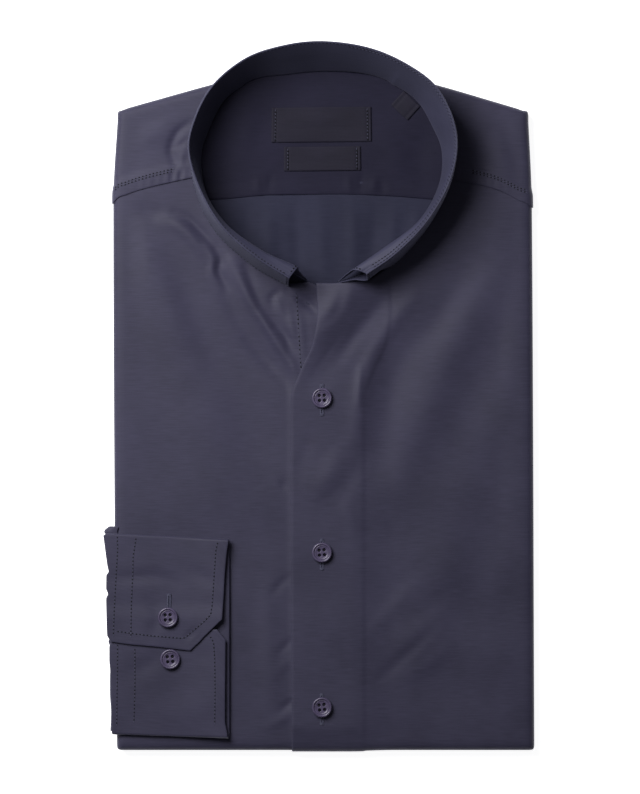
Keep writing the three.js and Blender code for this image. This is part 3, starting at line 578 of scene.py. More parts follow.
# How high each panel's outer face lies over the stack

def side_fade(u, v, reach):
    return smooth(np.minimum(np.minimum(u - FLAT_LEFT, FLAT_RIGHT - u), v - FLAT_HEM), 0, reach)


def hem_fade(v):
    return blend(HEM_SHARE, 1, smooth(v, *HEM_RAMP))


def right_front_level(u, v):
    stand = STAND_EXTRA * smooth(u, *STAND_RAMP) * hem_fade(v)
    from_seam = (u - STAND_SEAM["x"] - (v - STAND_SEAM["y"]) * STAND_SEAM["lean"]) / STAND_SEAM["reach"]
    pucker = STAND_SEAM["pucker"] * np.sin(v * STAND_SEAM["turn"]) * np.exp(-from_seam ** 2)
    soft = soft_form("right front", u, v)
    pucker *= smooth(v, *STAND_SEAM["fade"])
    return FRONT_LEVEL + stand + side_fade(u, v, FRONT_FADE) * soft + pucker


def placket_fold(v):
    """X of the placket's inner fold."""
    return reading(PLACKET_EDGE, "y", "x", v) + PLACKET_WIDTH


def left_front_level(u, v):
    lift = OVERLAP_LIFT * (1 - smooth(u, *OVERLAP_RAMP)) * hem_fade(v)
    fold = placket_fold(v)
    extra = PLACKET_EXTRA * (1 - smooth(u, fold - PLACKET_STEP, fold))
    soft = soft_form("left front", u, v)
    calm = blend(OVERLAP_CALM, 1, smooth(u, *CALM_RAMP))
    soft = np.maximum(soft, 0) + calm * np.minimum(soft, 0)
    return FRONT_LEVEL + lift + extra + side_fade(u, v, FRONT_FADE) * soft


def seam_distance(u, v):
    """How far above the outer yoke seam a place on either shoulder is."""
    left = v - reading(YOKE_SEAM_LEFT, "x", "y", u)
    right = v - reading(YOKE_SEAM_RIGHT, "x", "y", u)
    return np.where(u < 0, left, right)


def yoke_level(u, v):
    above_seam = seam_distance(u, v)
    seam = YOKE_SEAM_LIFT * (1 - smooth(above_seam, *YOKE_SEAM_RAMP))
    side = side_fade(u, np.inf, YOKE_FADE)
    fade = smooth(flat_top(np.clip(u, FLAT_LEFT, FLAT_RIGHT)) - v, 0, 8) * side
    waves = np.sin(u * 1.3 + 0.4 * np.sin(u * 0.7))
    from_row = (above_seam - YOKE_PUCKER_ABOVE) / YOKE_PUCKER_ABOVE
    pucker = YOKE_PUCKER * waves * np.exp(-from_row ** 2)
    return FRONT_LEVEL + seam + fade * soft_form("yoke", u, v) + pucker * side


def inside_yoke_level(u, v):
    above_seam = v - reading(INSIDE_SEAM, "x", "y", u)
    seam = INSIDE_SEAM_LIFT * (1 - smooth(above_seam, *INSIDE_SEAM_RAMP))
    return BED_LEVEL + seam + soft_form("inside yoke", u, v)


def back_level(u, v):
    return BED_LEVEL - BACK_DROP + soft_form("back", u, v)


# Meshes

def make_object(name, points, faces, places=None):
    """A mesh object from millimetre points, smooth, with cloth places as its own map."""
    mesh = bpy.data.meshes.new(name)
    mesh.from_pydata((np.asarray(points) * MM).tolist(), [], [list(face) for face in faces])
    mesh.polygons.foreach_set("use_smooth", np.ones(len(mesh.polygons), bool))
    if places is not None:
        layer = mesh.uv_layers.new(name="cloth")
        corner = np.zeros(len(mesh.loops), np.int32)
        mesh.loops.foreach_get("vertex_index", corner)
        layer.data.foreach_set("uv", (np.asarray(places)[corner] * MM).astype(np.float32).ravel())
    mesh.update()
    made = bpy.data.objects.new(name, mesh)
    bpy.context.scene.collection.objects.link(made)
    return made


def grid_faces(rows, columns):
    """The faces of a grid of points seen from its outer side and from below, and its border."""
    number = np.arange(rows * columns).reshape(rows, columns)
    corners = number[:-1, :-1], number[:-1, 1:], number[1:, 1:], number[1:, :-1]
    outer = np.stack([corner.ravel() for corner in corners], 1)
    under = outer[:, [0, 3, 2, 1]] + rows * columns
    border = np.concatenate([number[0, :-1], number[:-1, -1], number[-1, :0:-1], number[:0:-1, 0]])
    return outer, under, border


def strip_faces(first, second):
    """The faces between two closed rings of points."""
    return np.stack([first, second, np.roll(second, -1), np.roll(first, -1)], 1)


def shell(name, upper, thickness, places, rim=3):
    """A wall of cloth below a grid of outer points, with rounded edges all round."""
    rows, columns = upper.shape[:2]
    along, climb, normal = directions(upper)
    wall = np.broadcast_to(thickness, (rows, columns))[..., None]
    lower = upper - normal * wall
    outer, under, border = grid_faces(rows, columns)
    out = np.zeros_like(upper)
    out[0] -= climb[0]
    out[-1] += climb[-1]
    out[:, 0] -= along[:, 0]
    out[:, -1] += along[:, -1]
    flat_out = unit(out.reshape(-1, 3)[border])
    flat_normal = normal.reshape(-1, 3)[border]
    half = wall.reshape(-1, 1)[border] / 2
    middle = (upper.reshape(-1, 3)[border] + lower.reshape(-1, 3)[border]) / 2
    points = [upper.reshape(-1, 3), lower.reshape(-1, 3)]
    spots = [places.reshape(-1, 2)] * 2
    rings = [border]
    for k in range(1, rim + 1):
        angle = math.pi * k / (rim + 1)
        rings.append(sum(map(len, points)) + np.arange(len(border)))
        points.append(middle + half * (flat_normal * math.cos(angle) + flat_out * math.sin(angle)))
        spots.append(places.reshape(-1, 2)[border])
    rings.append(border + rows * columns)
    edges = [strip_faces(*pair) for pair in zip(rings[:-1], rings[1:])]
    return make_object(name, np.concatenate(points), np.concatenate([outer, under, *edges]),
                       np.concatenate(spots))


def laid(name, u, v, level, thickness):
    """A panel laid on the stack: laid-out places, and how high its outer face lies there."""
    return shell(name, lie(u, v, level(u, v)), thickness, np.stack([u, v], -1))


# The collar's sections

def collar_value(column, place):
    """Reads one column of the collar's table at places from 0 to 1, as a smooth curve."""
    values = np.array(COLLAR[column], float)
    return curve_at(values, place * (len(values) - 1))


def collar_frame(place):
    """The collar's outer top edge, and the direction outward from it, from above."""
    shrink = 1 - collar_value("up", place) / CAMERA_HEIGHT
    middle_y = FRAME_MIDDLE[1]
    edge = np.stack([collar_value("x", place) * shrink,
                     middle_y + (collar_value("y", place) - middle_y) * shrink], -1)
    before, after = np.clip(place - PLACE_STEP, 0, 1), np.clip(place + PLACE_STEP, 0, 1)
    ahead_x, ahead_y = (collar_value(axis, after) - collar_value(axis, before) for axis in ("x", "y"))
    return edge, unit(np.stack([-ahead_y, ahead_x], -1))


def collar_foot(place, side):
    edge, outward = collar_frame(place)
    away = collar_value("outward", place) if side == "stand" else -collar_value("inward", place)
    return edge + outward * away[..., None]


def neck_line(start, end):
    """The neck seam between two places, a little inside the stand's foot."""
    place = np.linspace(start, end, 120)
    return collar_foot(place, "stand") - collar_frame(place)[1] * NECK_INSET


def meeting(start, end, seam, shift):
    """The place where the neck line crosses a shoulder seam moved along Y."""
    place = np.linspace(start, end, 400)
    spots = collar_foot(place, "stand")
    gap = spots[:, 1] - reading(seam, "x", "y", spots[:, 0]) - shift
    return float(place[np.argmin(np.abs(gap))])


def collar_ply(side, place):
    """One ply of the collar: rows of points from its top edge down to its foot."""
    edge, outward = collar_frame(place)
    high = collar_value("up", place) - RIDGE_RADIUS
    foot_xy = collar_foot(place, side)
    low = lie(foot_xy[:, 0], foot_xy[:, 1], FOOT_LEVEL)
    if side == "stand":
        top_xy, knee_xy = edge, blend(edge, foot_xy, 0.5) + outward * COLLAR_BOW
        knee_z = blend(high, low[:, 2], 0.5)
    else:
        knee = np.clip(collar_value("knee", place), 0, 1)
        top_xy = edge - outward * 2 * RIDGE_RADIUS
        knee_xy = top_xy + (foot_xy - top_xy) * blend(KNEE_SHARE, 1, knee)[:, None]
        knee_z = high - blend(KNEE_SHARE * (high - low[:, 2]), KNEE_DROP, knee)
    top = np.column_stack([top_xy, high])
    knee_point = np.column_stack([knee_xy, knee_z])
    first = np.linalg.norm(knee_point - top, axis=1)
    second = np.linalg.norm(low - knee_point, axis=1)
    run = np.linspace(0, 1, PLY_ROWS)[:, None] * (first + second)
    on_first = np.clip(run / first, 0, 1)[..., None]
    on_second = np.clip((run - first) / second, 0, 1)[..., None]
    path = top + (knee_point - top) * on_first + (low - knee_point) * on_second
    for _ in range(6):
        path[1:-1] = (path[:-2] + 2 * path[1:-1] + path[2:]) / 4
    length = place * COLLAR_LENGTH
    for from_end, table, at in zip((length, COLLAR_LENGTH - length), COLLAR_ENDS[side], (0, -1)):
        near = 1 - smooth(from_end, 0, END_REACH)
        goal = spread(bent([path[0, at], *table], 80), PLY_ROWS)
        path = path + near[None, :, None] * (goal - path[:, at])[:, None, :]
    return path


def down_columns(values, run, at):
    """Rows of a grid's values read at a distance down each of its columns."""
    at = np.broadcast_to(at, run[-1].shape)
    return np.array([[np.interp(at[k], run[:, k], values[:, k, axis]) for axis in range(3)]
                     for k in range(values.shape[1])])


def collar_band():
    """One band: the leaf up from its foot, over the top edge, and the stand down outside."""
    place = np.linspace(0, 1, COLLAR_COLUMNS)
    edge, outward = collar_frame(place)
    plies = {}
    for side in ("stand", "leaf"):
        ply = collar_ply(side, place)
        run = run_along(ply)
        close = [np.minimum(CLOSE_ROWS * k, run[-1]) for k in range(1, 12)]
        rest = [share * run[-1] for share in np.linspace(0.22, 1, 15)]
        plies[side] = [down_columns(ply, run, at) for at in close + rest]
    centre = np.column_stack([edge - outward * RIDGE_RADIUS,
                              collar_value("up", place) - RIDGE_RADIUS])
    flat = np.column_stack([outward, np.zeros(len(place))])
    ridge = [centre + RIDGE_RADIUS * (flat * math.cos(angle) + np.array([0, 0, math.sin(angle)]))
             for angle in np.linspace(math.pi, 0, 9)]
    grid = np.array(plies["leaf"][::-1] + ridge + plies["stand"])
    top_row = len(plies["leaf"]) + len(ridge) // 2
    down = run_along(grid)
    from_top = down - down[top_row]
    run = place * COLLAR_LENGTH
    wave = sum(height * np.sin(place * turns + start) for height, turns, start in COLLAR_WAVES)
    calm = smooth(run, 0, WAVE_END) * smooth(COLLAR_LENGTH - run, 0, WAVE_END)
    grid[..., 2] += np.exp(-(from_top / WAVE_REACH) ** 2) * wave * calm
    dents = 0
    for row, away, share in (
            ("first", np.abs(from_top) - RIDGE_QUARTER - STITCH_FROM_RIDGE, 1),
            ("second", from_top + RIDGE_QUARTER + SECOND_STITCH, smooth(place, 0.5, 0.56))):
        deep, wide = DENT[row]
        dents = dents + deep * (np.exp(-(away / wide) ** 2) * share)
    grid -= directions(grid)[2] * dents[..., None]
    return grid, np.stack([np.broadcast_to(run, from_top.shape), from_top], -1), top_row


def band_line(grid, top_row, side, distance):
    """A line along the collar below its top, or above its foot if the distance is negative."""
    rows = slice(top_row, None) if side == "stand" else slice(top_row, None, -1)
    part, facing = grid[rows], directions(grid)[2][rows]
    run = run_along(part)
    at = distance if distance > 0 else run[-1] + distance
    return down_columns(part, run, at), unit(down_columns(facing, run, at))


# Cuff, sleeve and hidden layers

def cuff_side(side, layer, y):
    """X of the cuff's side edge at y: layer 0 is its under end, 1 its back and 2 its over end."""
    if side == "left":
        shown = reading(CUFF_LEFT, "y", "x", y)
        return blend(shown, CUFF_BACK_LEFT, 1 - np.abs(layer - 1))
    under, back, over = (reading(CUFF_RIGHT[name], "y", "x", y) for name in ("under", "back", "over"))
    return np.where(layer < 1, blend(under, back, layer), blend(back, over, layer - 1))


def cuff_curl(layer, x):
    """How far the cuff's open side stands up: less in its back than in its flaps."""
    return CUFF_CURL * smooth(x, *CURL_RAMP) * blend(BACK_CURL, 1, np.abs(np.asarray(layer) - 1))


def flap_height(layer, y):
    """Height of the middle of the wall of the cuff's two flaps."""
    under_y = UNDER_END["y"][0]
    lifted = smooth(-y, -under_y - LIFTED_FROM, -under_y - LIFTED_TO)
    over = CUFF_BACK_HEIGHT + CUFF_STEP * blend(OVER_STEPS, 2, lifted)
    return np.where(np.asarray(layer) > 1, over, CUFF_BACK_HEIGHT + CUFF_STEP)


def cuff_grid():
    """The pressed cuff: a band from its under end, round the back, to its over end."""
    corners = [OVER_END["part"][4], UNDER_END["part"][1]]
    parts = np.unique(np.concatenate([np.linspace(0, 1, 81), corners]))
    back = CUFF_BACK_HEIGHT
    low = CUFF_STEP / 2
    high = OVER_STEPS * CUFF_STEP / 2
    arc = np.linspace(0, math.pi, 11)[1:-1]
    columns = []
    for part in parts:
        under_y = float(np.interp(part, UNDER_END["part"], UNDER_END["y"]))
        over_y = float(np.interp(part, OVER_END["part"], OVER_END["y"]))
        first, last = blend(*CUFF_TOP, part) - high, blend(*CUFF_BOTTOM, part) + low
        run = [(y, back + 2 * low, 0.0, 1.0, 0.0) for y in np.linspace(under_y, last, 75)]
        run += [(last - low * math.sin(a), back + low + low * math.cos(a),
                 -math.sin(a), math.cos(a), a / math.pi) for a in arc]
        run += [(y, back, 0.0, -1.0, 1.0) for y in np.linspace(last, first, 40)]
        run += [(first + high * math.sin(a), back + high - high * math.cos(a),
                 math.sin(a), -math.cos(a), 1 + a / math.pi) for a in arc]
        run += [(y, float(flap_height(2, y)), 0.0, 1.0, 2.0) for y in np.linspace(first, over_y, 80)]
        columns.append(run)
    y, z, out_y, out_z, layer = np.moveaxis(np.array(columns), -1, 0)
    y = y + out_y * CUFF_WALL / 2
    z = z + out_z * CUFF_WALL / 2
    x = blend(cuff_side("left", layer, y), cuff_side("right", layer, y), parts[:, None])
    z = z + np.clip(out_z, 0, 1) * soft_form("cuff", x, y) + cuff_curl(layer, x)
    grid = np.stack([x, y, z], -1)
    return grid, np.stack([x, run_across(grid)], -1)


def on_cuff(layer, x, y):
    """Places on the top face of one of the cuff's flaps."""
    height = flap_height(layer, y) + CUFF_WALL / 2 + soft_form("cuff", x, y) + cuff_curl(layer, x)
    return np.stack([x, y, height], -1)


def sleeve_grid():
    """The strip of sleeve that comes round the side of the stack, with small pleats."""
    y = np.linspace(*SLEEVE_ENDS, 170)
    turn = bent(np.stack([SLEEVE_TURN["x"], SLEEVE_TURN["z"]], 1), 34)
    part = np.linspace(0, 1, 34)
    dent = np.zeros_like(y)
    for at, deep, wide in SLEEVE_PLEATS:
        dent += deep * np.exp(-((y - at) / wide) ** 2)
    x = turn[None, :, 0] - dent[:, None] * np.sin(math.pi * np.clip(part + 0.1, 0, 1))[None, :]
    x += SLEEVE_WAVE * np.sin(y * 0.23)[:, None] * smooth(part, 0.0, 0.25)[None, :]
    y = np.broadcast_to(y[:, None], x.shape)
    grid = np.stack([x, y, np.broadcast_to(turn[None, :, 1], x.shape)], -1)
    return grid, np.stack([run_across(grid), y], -1)


def hidden_layers():
    """The stack's hidden cloth: one rounded solid with more folds round its edge."""
    def side(x, y):
        return np.stack(np.broadcast_arrays(x, y), 1)

    across = np.linspace(FLAT_RIGHT, FLAT_LEFT, CORE_ACROSS)
    border = np.concatenate([
        side(np.linspace(FLAT_LEFT - 0.1, FLAT_RIGHT + 0.1, CORE_ACROSS), FLAT_HEM - WRAP_LENGTH),
        side(FLAT_RIGHT + WRAP_LENGTH, np.linspace(FLAT_HEM, CORE_SIDE_TOP, CORE_UP)),
        side(across, flat_top(across) + WRAP_LENGTH),
        side(FLAT_LEFT - WRAP_LENGTH, np.linspace(CORE_SIDE_TOP, FLAT_HEM, CORE_UP)),
    ])
    x, y, _, to_x, to_y = foot(border[:, 0], border[:, 1])
    run = run_along(np.stack([x, y], 1))
    profile = bent(CORE_PROFILE, 46)
    rows = []
    for out, up in profile:
        slack = CORE_SLACK * np.sin(run * 0.05 + 1.4 * up) * smooth(np.array(5.5 - up), 0, 1.5)
        reach = out + slack - CORE_INSET
        rows.append(np.stack([x + reach * to_x, y + reach * to_y, np.full(len(x), float(up))], 1))
    count = len(x)
    rings = np.arange(len(rows) * count).reshape(-1, count)
    faces = [face for pair in zip(rings[:-1], rings[1:]) for face in strip_faces(*pair)]
    faces += [rings[0], rings[-1, ::-1]]
    places = np.stack([np.tile(run, len(rows)), np.repeat(profile[:, 1], count) * 2], 1)
    return make_object("hidden_layers_cloth", np.concatenate(rows), faces, places)


# Panels

def front_panel(name, top, outside, foot_from, foot_to, level, thickness, bend=None):
    """A front: columns from its top line down to the hem, with the turned side beside them."""
    top = evenly(top, PANEL_SPACING)
    part = np.linspace(0, 1, len(top))
    below = blend(foot_from, foot_to, part)
    turned = np.linspace(WRAP_LENGTH, 0, 9)
    v = [np.full(len(top), FLAT_HEM) - past for past in turned]
    u = [below for _ in turned]
    for step in np.linspace(0, 1, 215)[1:]:
        height = blend(FLAT_HEM, top[:, 1], step)
        v.append(height)
        u.append(blend(below, top[:, 0], step) + (bend(part, step, height) if bend else 0))
    u, v = np.array(u), np.array(v)
    side = np.linspace(0, WRAP_LENGTH, 10)[1:]
    if outside == "left":
        u = np.concatenate([u[:, :1] - side[::-1], u], 1)
        v = np.concatenate([np.repeat(v[:, :1], len(side), 1), v], 1)
    else:
        u = np.concatenate([u, u[:, -1:] + side], 1)
        v = np.concatenate([v, np.repeat(v[:, -1:], len(side), 1)], 1)
    return laid(name, u, v, level, thickness(u, v))


def along_seam(seam, start, end, above=0):
    """Places along a seam of the yoke, moved up by a distance."""
    x = np.linspace(start, end, 40)
    return np.stack([x, reading(seam, "x", "y", x) + above], 1)


def right_front():
    neck = neck_line(meeting(*LEFT_HALF, YOKE_SEAM_LEFT, SEAM_TUCK), 0.0)
    seam = along_seam(YOKE_SEAM_LEFT, FLAT_LEFT, neck[0, 0] - SEAM_GAP, SEAM_TUCK)
    top = np.concatenate([seam, neck, np.array(UNDER_TOP)])

    def wall(u, v):
        return blend(CLOTH, STAND_WALL, smooth(u, *STAND_THICKENS))

    return front_panel("right_front_cloth", top, "left", FLAT_LEFT, UNDER_EDGE,
                       right_front_level, wall)


def left_front():
    neck = neck_line(1.0, meeting(*RIGHT_HALF, YOKE_SEAM_RIGHT, SEAM_TUCK))
    seam = along_seam(YOKE_SEAM_RIGHT, neck[-1, 0] + SEAM_GAP, FLAT_RIGHT, SEAM_TUCK)
    placket_x = np.linspace(PLACKET_TOP["left"], PLACKET_TOP["right"] + 6, 12)
    placket_y = PLACKET_TOP["y"] + 0.08 * np.maximum(placket_x - PLACKET_TOP["right"], 0)
    placket = np.stack([placket_x, placket_y], 1)
    top = np.concatenate([placket, neck[neck[:, 0] > PLACKET_TOP["right"] + 7], seam])
    edge_foot = PLACKET_EDGE["x"][0]

    def bend(part, step, height):
        line = blend(edge_foot, PLACKET_TOP["left"], step)
        return (reading(PLACKET_EDGE, "y", "x", height) - line) * (1 - part) ** 3

    def wall(u, v):
        fold = placket_fold(v)
        first, last = PLACKET_THINS
        return blend(PLACKET_WALL, CLOTH, smooth(u, fold - first, fold - last))

    return front_panel("left_front_cloth", top, "right", edge_foot, FLAT_RIGHT,
                       left_front_level, wall, bend)


def yoke_outer():
    neck = neck_line(meeting(*LEFT_HALF, YOKE_SEAM_LEFT, 0), meeting(*RIGHT_HALF, YOKE_SEAM_RIGHT, 0))
    ends = FLAT_LEFT - WRAP_LENGTH, FLAT_RIGHT + WRAP_LENGTH
    left = along_seam(YOKE_SEAM_LEFT, ends[0], neck[0, 0] - SEAM_GAP)
    right = along_seam(YOKE_SEAM_RIGHT, neck[-1, 0] + SEAM_GAP, ends[1])
    near = evenly(np.concatenate([left, neck, right]), PANEL_SPACING)
    far = blend(near[:, 0], blend(*ends, np.linspace(0, 1, len(near))), YOKE_FAN)
    top = flat_top(np.clip(far, FLAT_LEFT, FLAT_RIGHT)) + WRAP_LENGTH
    steps = np.linspace(0, 1, 52)[:, None]
    return laid("yoke_outer_cloth", blend(near[:, 0], far, steps), blend(near[:, 1], top, steps),
                yoke_level, CLOTH)


def inside_panels():
    """The inner yoke, and the back below it."""
    u = np.linspace(*INSIDE_ENDS, 118)
    seam = reading(INSIDE_SEAM, "x", "y", u)
    steps = np.linspace(0, 1, 56)[:, None]
    upper = blend(seam, reading(INSIDE_TOP, "x", "y", u), steps)
    lower = blend(BACK_BOTTOM, seam + BACK_UNDER_SEAM, steps)
    across = np.broadcast_to(u, upper.shape)
    return (laid("yoke_inner_cloth", across, upper, inside_yoke_level, CLOTH),
            laid("back_inside_cloth", across, lower, back_level, CLOTH))


# Stitches and buttons

def on_panel(level, u, v):
    """Points and normals of a laid panel's outer face at laid-out places."""
    small = 0.3
    point = lie(u, v, level(u, v))
    along = lie(u + small, v, level(u + small, v)) - point
    climb = lie(u, v + small, level(u, v + small)) - point
    return point, unit(np.cross(along, climb))


class Threads:
    """Stitches gathered into one joined mesh, and the places of the needle holes between them."""

    def __init__(self):
        self.points = []
        self.faces = []
        self.pits = []

    def strand(self, start, end, normal, radius, lift):
        """One short stitch: a thread that comes out of the cloth, lies on it and goes back."""
        along = unit(end - start)
        side = unit(np.cross(normal, along))
        sides, rings = STRAND_SIDES, len(STRAND_SHAPE)
        base = len(self.points)
        for part, thick, high in STRAND_SHAPE:
            centre = blend(start, end, part) + normal * lift * high
            for k in range(sides):
                angle = 2 * math.pi * k / sides
                ring = side * math.cos(angle) + normal * math.sin(angle)
                self.points.append(centre + ring * radius * thick)
        for ring in range(rings - 1):
            for k in range(sides):
                a = base + ring * sides + k
                b = base + ring * sides + (k + 1) % sides
                self.faces.append((a, b, b + sides, a + sides))
        self.faces.append(tuple(base + k for k in range(sides - 1, -1, -1)))
        self.faces.append(tuple(base + (rings - 1) * sides + k for k in range(sides)))

    def row(self, points, normals, length=STITCH_LENGTH, gap=STITCH_GAP):
        """A line of stitches along a curve on the cloth."""
        run = run_along(points)
        at = np.arange(gap, run[-1] - length, length + gap)
        middles = unit(read_line(normals, run, at + length / 2))
        for start, end, normal in zip(read_line(points, run, at),
                                      read_line(points, run, at + length), middles):
            self.strand(start, end, normal, THREAD_RADIUS, THREAD_RADIUS * 0.7)
            self.pits.append((start - unit(end - start) * gap / 2, normal, end - start))

    def make(self, name):
        points = np.array(self.points)
        return make_object(name, points, self.faces, points[:, :2])


def needle_hole_shade(pits):
    """Painted shade of the small dents that the needle leaves between stitches: nearly black discs laid
    on the cloth.
    """
    points, faces = [], []
    sides = 8
    for centre, normal, ahead in pits:
        along = unit(ahead)
        across = unit(np.cross(normal, along))
        base = len(points)
        points.append(centre + normal * 0.13)
        for reach, up in PIT_RINGS:
            for k in range(sides):
                angle = 2 * math.pi * k / sides
                spot = along * math.cos(angle) + across * 0.75 * math.sin(angle)
                points.append(centre + spot * PIT_RADIUS * reach + normal * up)
        for k in range(sides):
            a, b = base + 1 + k, base + 1 + (k + 1) % sides
            faces.append((base, a, b))
            faces.append((a, a + sides, b + sides, b))
    points = np.array(points)
    return make_object("needle_hole_shade", points, faces, points[:, :2])


def disc_grid(count):
    """A square grid drawn into a unit disc."""
    line = np.linspace(-1, 1, count)
    a, b = np.meshgrid(line, line)
    return a * np.sqrt(1 - b * b / 2), b * np.sqrt(1 - a * a / 2)


def placed(u, v, x, y, turn):
    """Places turned about the origin and moved to a spot."""
    return (x + u * math.cos(turn) - v * math.sin(turn),
            y + u * math.sin(turn) + v * math.cos(turn))


def button_object(name, x, y, z, turn):
    """A four-hole resin button with a raised round rim and a dished middle."""
    count = 84
    px, py = disc_grid(count)
    radius = np.hypot(px, py) * BUTTON_RADIUS
    px, py = px * BUTTON_RADIUS, py * BUTTON_RADIUS
    top = reading(BUTTON_FACE, "r", "z", radius)
    for side_x in (-1, 1):
        for side_y in (-1, 1):
            away = np.hypot(px - side_x * HOLE_REACH, py - side_y * HOLE_REACH)
            top = blend(top, HOLE_FLOOR, 1 - smooth(away, HOLE_RADIUS - 0.22, HOLE_RADIUS + 0.12))
    bottom = reading(BUTTON_BACK, "r", "z", radius)
    spot_x, spot_y = placed(px, py, x, y, turn)
    points = [np.stack([spot_x, spot_y, z + level], -1).reshape(-1, 3) for level in (top, bottom)]
    outer, under, border = grid_faces(count, count)
    edge = strip_faces(border, border + count * count)
    return make_object(name, np.concatenate(points), np.concatenate([outer, under, edge]))


def on_label(u, v, x, y, turn, above):
    """Points at a height above the inner yoke, from places on a label."""
    spot_u, spot_v = placed(u, v, x, y, turn)
    return lie(spot_u, spot_v, inside_yoke_level(spot_u, spot_v) + above)


def label_object(name, x, y, width, depth, turn):
    """A bare woven tape, with its two ends folded under and sewn down."""
    u, v = np.meshgrid(*(np.linspace(-size / 2, size / 2, int(size / 0.6)) for size in (width, depth)))
    fold = np.exp(-((width / 2 - np.abs(u) - LABEL_SEWN) / 0.7) ** 2) * -0.15
    bow = 0.12 * np.sin(math.pi * (u / width + 0.5)) * np.abs(np.sin(v * 0.35 + 0.6))
    points = on_label(u, v, x, y, turn, LABEL_LIFT + fold + bow)
    return shell(name, points, LABEL_WALL, np.stack([u, v], -1), 2)


# Materials

def new_material(name):
    material = bpy.data.materials.new(name)
    material.use_nodes = True
    tree = material.node_tree
    tree.nodes.clear()
    output = tree.nodes.new("ShaderNodeOutputMaterial")
    shader = tree.nodes.new("ShaderNodeBsdfPrincipled")
    tree.links.new(shader.outputs["BSDF"], output.inputs["Surface"])
    return material, tree, shader


def node(tree, kind, settings=None, **values):
    made = tree.nodes.new(kind)
    for key, value in (settings or {}).items():
        setattr(made, key, value)
    for key, value in values.items():
        made.inputs[key].default_value = value
    return made


def maths(tree, operation, first, second):
    made = tree.nodes.new("ShaderNodeMath")
    made.operation = operation
    for k, value in enumerate((first, second)):
        if isinstance(value, (int, float)):
            made.inputs[k].default_value = value
        else:
            tree.links.new(value, made.inputs[k])
    return made.outputs[0]


def colour_between(tree, shader, value, low, dark, high, light):
    """Colours a surface from dark to light as a value goes from low to high."""
    ramp = tree.nodes.new("ShaderNodeValToRGB")
    for element, at, colour in zip(ramp.color_ramp.elements, (low, high), (dark, light)):
        element.position = at
        element.color = (*colour, 1)
    tree.links.new(value, ramp.inputs["Fac"])
    tree.links.new(ramp.outputs["Color"], shader.inputs["Base Color"])
    return ramp.outputs["Color"]


def rough_between(tree, shader, value, low, high):
    """Lets the roughness follow a value from low to high."""
    rough = node(tree, "ShaderNodeMapRange", **{"To Min": low, "To Max": high})
    tree.links.new(value, rough.inputs["Value"])
    tree.links.new(rough.outputs["Result"], shader.inputs["Roughness"])


def cloth_material(name, dark, light, roughness, sheen, slub, weave, shine):
    """Woven cotton: fine crossed threads, faint slubs, and slight changes of colour."""
    material, tree, shader = new_material(name)
    link = tree.links.new
    place = node(tree, "ShaderNodeUVMap", {"uv_map": "cloth"}).outputs["UV"]
    long_way = node(tree, "ShaderNodeMapping", Scale=THREAD_SCALE)
    link(place, long_way.inputs["Vector"])
    flat = {"noise_dimensions": "2D"}
    threads = node(tree, "ShaderNodeTexNoise", flat, Scale=1, Detail=3)
    link(long_way.outputs["Vector"], threads.inputs["Vector"])
    cloud = node(tree, "ShaderNodeTexNoise", flat, Scale=24, Detail=4, Roughness=0.6)
    link(place, cloud.inputs["Vector"])
    mix = maths(tree, "ADD", maths(tree, "MULTIPLY", cloud.outputs["Fac"], 1 - slub),
                maths(tree, "MULTIPLY", threads.outputs["Fac"], slub))
    colour_between(tree, shader, mix, 0.34, dark, 0.66, light)
    waves = []
    for direction in ("X", "Y"):
        wave = node(tree, "ShaderNodeTexWave", {"bands_direction": direction},
                    Scale=1000 / weave / 3.14)
        link(place, wave.inputs["Vector"])
        waves.append(wave.outputs["Fac"])
    grain = maths(tree, "ADD", maths(tree, "MULTIPLY", waves[0], waves[1]), threads.outputs["Fac"])
    bump = node(tree, "ShaderNodeBump", Strength=0.22, Distance=0.00012)
    link(grain, bump.inputs["Height"])
    link(bump.outputs["Normal"], shader.inputs["Normal"])
    rough_between(tree, shader, cloud.outputs["Fac"], roughness - 0.05, roughness + 0.06)
    shader.inputs["Specular IOR Level"].default_value = shine
    shader.inputs["Sheen Weight"].default_value = sheen
    shader.inputs["Sheen Roughness"].default_value = 0.45
    shader.inputs["Sheen Tint"].default_value = SHEEN_TINT
    return material


def resin_material():
    """Dark violet resin with a faint cloud in it and a polished face."""
    material, tree, shader = new_material("button resin")
    place = tree.nodes.new("ShaderNodeTexCoord").outputs["Object"]
    cloud = node(tree, "ShaderNodeTexNoise", Scale=420, Detail=3)
    tree.links.new(place, cloud.inputs["Vector"])
    colour_between(tree, shader, cloud.outputs["Fac"], 0.3, RESIN_DARK, 0.75, RESIN_LIGHT)
    rough_between(tree, shader, cloud.outputs["Fac"], 0.42, 0.55)
    shader.inputs["Coat Weight"].default_value = 0.3
    shader.inputs["Coat Roughness"].default_value = 0.2
    return material


def floor_material():
    """A pale matt floor that shines a little itself, as paper in a light tent seems to."""
    material, tree, shader = new_material("pale floor")
    place = tree.nodes.new("ShaderNodeTexCoord").outputs["Object"]
    cloud = node(tree, "ShaderNodeTexNoise", Scale=3, Detail=2)
    tree.links.new(place, cloud.inputs["Vector"])
    colour = colour_between(tree, shader, cloud.outputs["Fac"], 0, FLOOR_DARK, 1, FLOOR_LIGHT)
    tree.links.new(colour, shader.inputs["Emission Color"])
    shader.inputs["Emission Strength"].default_value = 1.0
    shader.inputs["Roughness"].default_value = 0.9
    return material


# Stage

